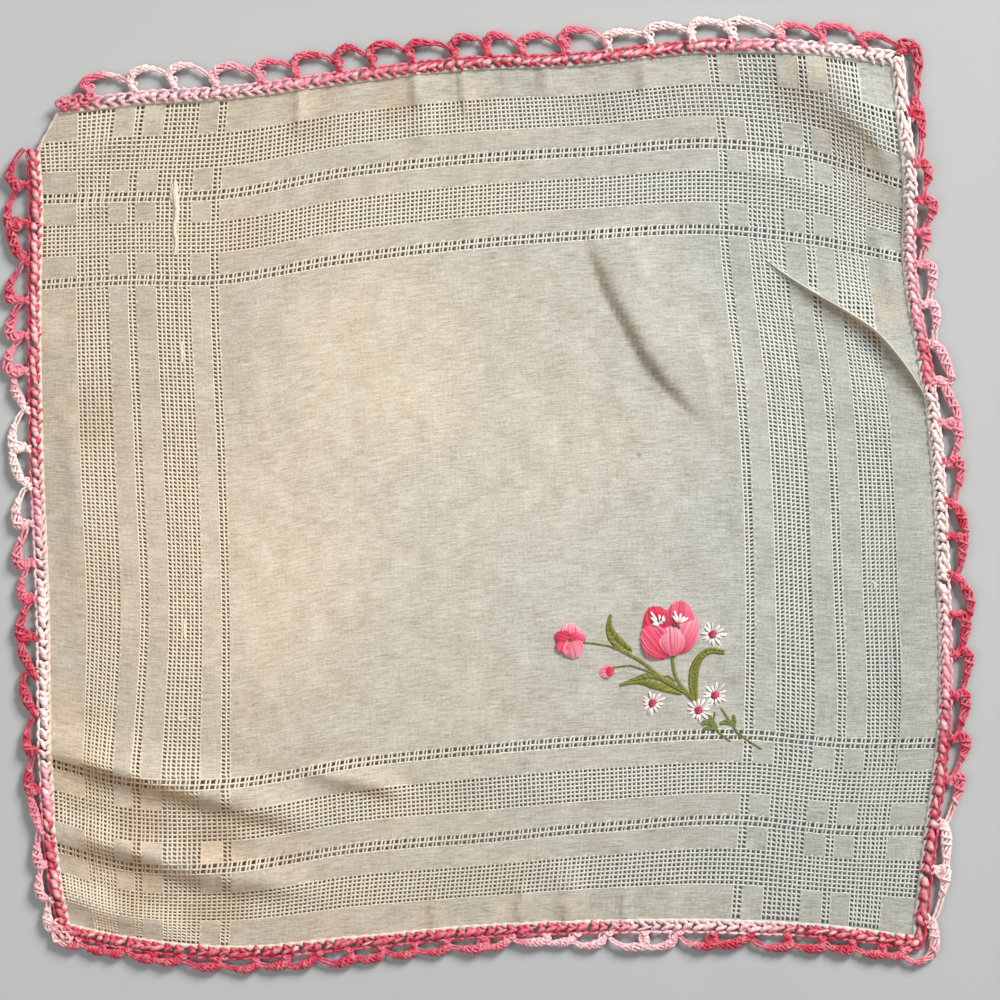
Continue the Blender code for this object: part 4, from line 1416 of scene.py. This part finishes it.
# Leaves: the course of the midrib from the tip, half widths along it, and colours
LEAVES = (
    (((-25.6, 26.4), (-26.0, 22.6), (-24.8, 19.4), (-22.2, 16.8), (-20.0, 15.4)),
     (0.3, 1.0, 1.8, 1.9, 1.2), OLIVE),
    (((-22.6, 4.6), (-18.4, 5.8), (-13.6, 6.2), (-8.6, 4.6), (-4.0, 2.4)),
     (0.3, 1.1, 2.8, 2.3, 0.9), OLIVE),
    (((9.8, 14.8), (5.2, 15.2), (2.2, 13.2), (0.4, 9.4), (0.0, 4.8), (0.6, 0.4)),
     (0.7, 1.0, 1.2, 1.6, 1.5, 0.9), OLIVE),
    (((2.6, -7.6), (4.4, -6.8), (6.6, -7.4)), (0.5, 1.0, 0.5), SAGE),
    (((5.0, -4.6), (5.6, -6.4), (7.2, -8.4)), (0.4, 0.9, 0.5), SAGE),
    (((8.4, -7.4), (10.4, -6.8), (12.2, -7.6)), (0.4, 0.9, 0.4), SAGE),
    (((12.6, -4.6), (12.6, -6.4), (12.8, -8.6)), (0.3, 0.8, 0.4), SAGE),
    (((3.2, -9.0), (5.2, -8.6), (7.4, -9.0)), (0.3, 0.7, 0.4), SAGE),
)


class Needle:
    """Gathers the floss of the embroidery, stitch by stitch."""

    def __init__(self):
        self.lines = Lines(**FLOSS_FIELDS)

    def stitch(self, course, girth, dyes, height, arch=0.18, count=5):
        """One stitch along a course; it goes into the cloth at both ends."""
        points = eased([(x, y, 0.0) for x, y in course], count)
        part = np.linspace(0.0, 1.0, count)
        above = LINEN_THICKNESS + height + arch * np.sin(part * math.pi) ** 0.6 - 0.05
        above[[0, -1]] -= 0.22
        start, end = np.array(dyes)
        light = chance(1.0, 0.13, 0.72, 1.30)
        dye = (start + (end - start) * part[:, None]) * light
        dye = np.concatenate((dye, np.ones((count, 1))), axis=1)
        places = on_cloth(points[:, 0] + SPRAY_AT[0], points[:, 1] + SPRAY_AT[1], above)
        girths = girth * (0.72 + 0.28 * np.sin(part * math.pi)) * MM
        self.lines.add(places, girth=girths, dye=dye)

    def petal(self, foot, turn, length, width, foot_dyes, tip_dyes, layer):
        """Satin stitches that fan from the foot of a petal to its rounded tip."""
        turn = math.radians(turn)
        ahead, aside = (math.sin(turn), math.cos(turn)), (math.cos(turn), -math.sin(turn))
        count = max(int(width / (FLOSS * 0.54)), 5)
        for number in range(count):
            f = 2.0 * (number + 0.5) / count - 1.0
            f += rng.normal(0.0, 0.02)
            reach = length * (math.sqrt(max(1.0 - 0.58 * f * f, 0.0)) + rng.normal(0.0, 0.014))
            course = [(foot[0] + ahead[0] * reach * along + aside[0] * f * width * share,
                       foot[1] + ahead[1] * reach * along + aside[1] * f * width * share)
                      for along, share in ((0.0, 0.12), (0.35, 0.42), (0.7, 0.50), (1.0, 0.43))]
            pick = rng.random()
            dyes = (foot_dyes[0] if pick < 0.6 else foot_dyes[1],
                    tip_dyes[1] if pick < 0.6 else tip_dyes[0])
            self.stitch(course, FLOSS * rng.uniform(0.75, 1.3), dyes,
                        0.10 + layer * 0.22 + rng.uniform(0.0, 0.16), 0.30)

    def stem(self, course, start, end):
        """Slanting, overlapping stitches along a line."""
        path = eased([(x, y, 0.0) for x, y in course], 40)[:, :2]
        passed = lengths_along(path)
        count = max(int(passed[-1] / 1.15), 3)
        for number in range(count):
            at = passed[-1] * (number + 0.3) / count + np.array((-0.5, 0.6, 1.9))
            wide = start + (end - start) * number / count
            for side in ((-0.22, 0.22) if wide > 0.75 else (0.0,)):
                x, y = [np.interp(at, passed, path[:, axis]) for axis in (0, 1)]
                slope = np.array((x[-1] - x[0], y[-1] - y[0]))
                slope /= max(np.hypot(*slope), 1e-6)
                apart = side * wide + np.array((-0.14, 0.0, 0.14)) * wide
                self.stitch(zip(x - slope[1] * apart, y + slope[0] * apart),
                            0.42 + 0.12 * wide, OLIVE, 0.14, 0.12)

    def leaf(self, course, widths, dyes):
        """Fishbone stitches slanting from a midrib to both edges."""
        path = eased([(x, y, 0.0) for x, y in course], 60)[:, :2]
        passed = lengths_along(path)
        count = max(int(passed[-1] / (FLOSS * 0.95)), 5)
        for number in range(count):
            at = passed[-1] * number / (count - 1)
            wide = np.interp(at / passed[-1], np.linspace(0.0, 1.0, len(widths)), widths)
            tip = np.array([np.interp(at, passed, path[:, axis]) for axis in (0, 1)])
            back = np.array([np.interp(at + 0.6, passed, path[:, axis]) for axis in (0, 1)])
            slope = (back - tip) / max(np.hypot(*(back - tip)), 1e-6)
            for side in ((-1.0, 1.0) if number % 2 else (1.0, -1.0)):
                aside = np.array((-slope[1], slope[0])) * side
                edge = tip + aside * wide - slope * 0.2
                root = tip + slope * (wide * 1.2 + 0.3) - aside * 0.16
                middle = (edge + root) / 2.0 + aside * wide * 0.12
                self.stitch((edge, middle, root), FLOSS, dyes if number % 3 else dyes[::-1],
                            0.12, 0.16, 4)

    def daisy(self, middle, length, turn):
        """Looped petals round a satin heart."""
        for number in range(DAISY_PETALS):
            angle = math.radians(turn + 360.0 * number / DAISY_PETALS + rng.normal(0.0, 3.0))
            reach = length * (1.0 + chance(0.0, 0.13, -0.25, 0.2))
            ahead = np.array((math.sin(angle), math.cos(angle)))
            aside = np.array((ahead[1], -ahead[0]))
            for side in (-1.0, 1.0):
                course = [np.array(middle) + ahead * reach * along + aside * wide * side
                          for along, wide in ((0.30, 0.05), (0.65, 0.22), (1.0, 0.08))]
                self.stitch(course, 0.38, WHITE, 0.12, 0.20)
        for number in range(8):
            f = (number - 3.5) / 4.0
            half = (1.3 + rng.normal(0.0, 0.12)) * math.sqrt(1.0 - f * f)
            y = middle[1] + f * 1.1
            self.stitch(((middle[0] - half, y - 0.2), (middle[0], y), (middle[0] + half, y + 0.2)),
                        0.46, HEART, 0.24, 0.26)


def spray(material):
    """The spray of tulip, buds and daisies worked in floss."""
    needle = Needle()
    for leaf in LEAVES:
        needle.leaf(*leaf)
    for stem in STEMS:
        needle.stem(*stem)
    for petal in TULIP_PETALS[:2]:
        needle.petal(*petal)
    for (x, y), turn, spread, count in TULIP_HEARTS:
        for number in range(count):
            f = 2.0 * number / (count - 1) - 1.0 + rng.normal(0.0, 0.10)
            angle = math.radians(turn + spread * f)
            reach = (1.7 + 2.1 * (0.5 + 0.5 * math.cos(2.2 * f))) * rng.uniform(0.65, 1.25)
            ahead = (math.sin(angle), math.cos(angle))
            course = [(x + ahead[0] * way, y + ahead[1] * way)
                      for way in (0.7, 0.7 + reach / 2.0, 0.7 + reach)]
            needle.stitch(course, 0.78, WHITE, 0.62, 0.22)
    for x, y in STAMENS:
        needle.stitch(((x - 0.3, y + 0.4), (x, y), (x + 0.3, y - 0.35)), 0.55, STAMEN, 0.95)
    for petal in TULIP_PETALS[2:] + BUD_PETALS + SMALL_BUD_PETALS:
        needle.petal(*petal)
    x, y = BUD_HEART
    for number in range(5):
        turn_x, turn_y = math.cos(number * 1.256), math.sin(number * 1.256)
        course = [(x + out_x * turn_x, y + out_y * turn_y)
                  for out_x, out_y in ((0.0, 0.0), (0.5, 0.4), (0.9, 0.7))]
        needle.stitch(course, 0.34, STAMEN, 0.75)
    for daisy in DAISIES:
        needle.daisy(*daisy)
    return sweep(needle.lines, "embroidered_spray", 6, 0.72, material)


def pressed_pleat(material):
    """The doubled cloth that stands along the pressed pleat."""
    lines = Lines(**LINEN_FIELDS)
    x, y = eased(PLEAT, 60).T
    part = np.linspace(0.0, 1.0, 60)
    girth = 0.34 + 0.34 * np.sin(part * math.pi) ** 0.7
    lines.add(on_cloth(x, y, 0.05 + girth * 0.7), flat=flat_points(x, y), girth=girth * MM)
    return sweep(lines, "pressed_pleat", 8, 2.0, material)


# Darning and loose ends: course in plan (millimetres), thickness along it, height
MENDS = (
    (((-97.6, 98.2), (-97.9, 94.0), (-97.2, 89.0), (-97.9, 84.0), (-97.5, 78.6), (-98.0, 75.0)),
     (0.9, 2.3, 1.9, 1.5, 1.2, 0.7), 0.35),
    (((-98.6, 97.0), (-99.0, 93.6), (-98.4, 90.0)), (0.5, 1.1, 0.5), 0.3),
    (((-94.6, -68.3), (-95.9, -69.2), (-96.8, -68.4), (-95.8, -67.6)), (0.6, 0.9, 0.8, 0.4), 0.3),
    (((118.0, -26.0), (118.9, -27.2), (118.6, -28.6)), (0.5, 0.8, 0.4), 0.3),
    (((-95.6, 48.4), (-95.9, 45.0), (-95.5, 41.6)), (0.5, 1.2, 0.5), 0.2),
    (((-94.9, -38.0), (-95.0, -41.0), (-94.8, -44.4)), (0.4, 0.9, 0.4), 0.2),
)


def mends(material):
    """The white darning threads of small repairs in the openwork."""
    lines = Lines(**LINEN_FIELDS)
    for course, thicknesses, height in MENDS:
        count = len(course) * 4
        points = eased([(x, y, thick) for (x, y), thick in zip(course, thicknesses)], count)
        x, y, girth = points.T
        wander = rng.normal(0.0, 0.12, count)
        lines.add(on_cloth(x + wander, y, np.full(count, height)), flat=flat_points(x, y),
                  girth=girth * MM)
    return sweep(lines, "darning_threads", 6, 0.6, material)


# ------------------------------------------------------------------ stage

def area_light(name, place_at, size, power, tint):
    """A square lamp that faces the middle of the table."""
    data = bpy.data.lights.new(name, "AREA")
    data.shape, data.size, data.energy, data.color = "SQUARE", size, power, tint
    lamp = add_object(name, data)
    lamp.location = place_at
    lamp.rotation_euler = (-Vector(place_at)).to_track_quat("-Z", "Y").to_euler()


VIEW_WIDTH = 0.31
CAMERA_HEIGHT = 0.9
SENSOR = 36.0
AIM = (0.0037, -0.0014)
TABLE_SIZE = 40.0
TABLE_TOP = -0.0001


def stage():
    """The table, the camera over it, and the light from a window at the upper right."""
    bpy.ops.mesh.primitive_plane_add(size=TABLE_SIZE, location=(0.0, 0.0, TABLE_TOP))
    table = bpy.context.object
    table.name = "table_top"
    table.data.materials.append(table_material())
    data = bpy.data.cameras.new("camera")
    data.sensor_width = SENSOR
    data.lens = SENSOR * CAMERA_HEIGHT / VIEW_WIDTH
    camera = add_object("camera", data)
    camera.location = (*AIM, CAMERA_HEIGHT)
    bpy.context.scene.camera = camera
    area_light("window", (1.15, 1.35, 1.15), 0.8, 79.0, (1.0, 1.0, 0.985))
    area_light("fill", (-0.7, -0.3, 0.9), 0.9, 5.0, (1.0, 0.96, 0.92))
    world = bpy.data.worlds.new("studio")
    world.use_nodes = True
    background = world.node_tree.nodes["Background"]
    background.inputs["Color"].default_value = (0.93, 0.95, 1.0, 1.0)
    background.inputs["Strength"].default_value = 0.35
    bpy.context.scene.world = world
    bpy.context.scene.view_settings.view_transform = "Standard"


# ------------------------------------------------------------------ the whole


def main():
    """Make every piece, attach each to the root body, and hide the CAD part that it stands in for."""
    yarn = openwork_material()
    linen = linen_panels(linen_material())
    uprights = openwork("openwork_upright_yarns", True, yarn)
    crossings = openwork("openwork_cross_yarns", False, yarn)
    hem = hem_roll(hem_material())
    heading = crochet_heading(cotton_material("heading_cotton", HEADING_DYE, HEADING_DYE_ON))
    loops = crochet_loops(cotton_material("loop_cotton", LOOP_DYE, LOOP_DYE_ON))
    darns = mends(yarn)
    ridge = pressed_pleat(yarn)
    flowers = spray(floss_material())
    stage()
    worked = [uprights, crossings, hem, darns, ridge]
    stands_for = [(piece, "linen", "linen_square") for piece in [linen] + worked]
    stands_for += [(heading, "heading_cotton", "crochet_heading"),
                   (loops, "loop_cotton", "crochet_loops"),
                   (flowers, "loop_cotton", "linen_square")]
    for piece, slot, node in stands_for:
        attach(piece, "root")
        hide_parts(node)


main()
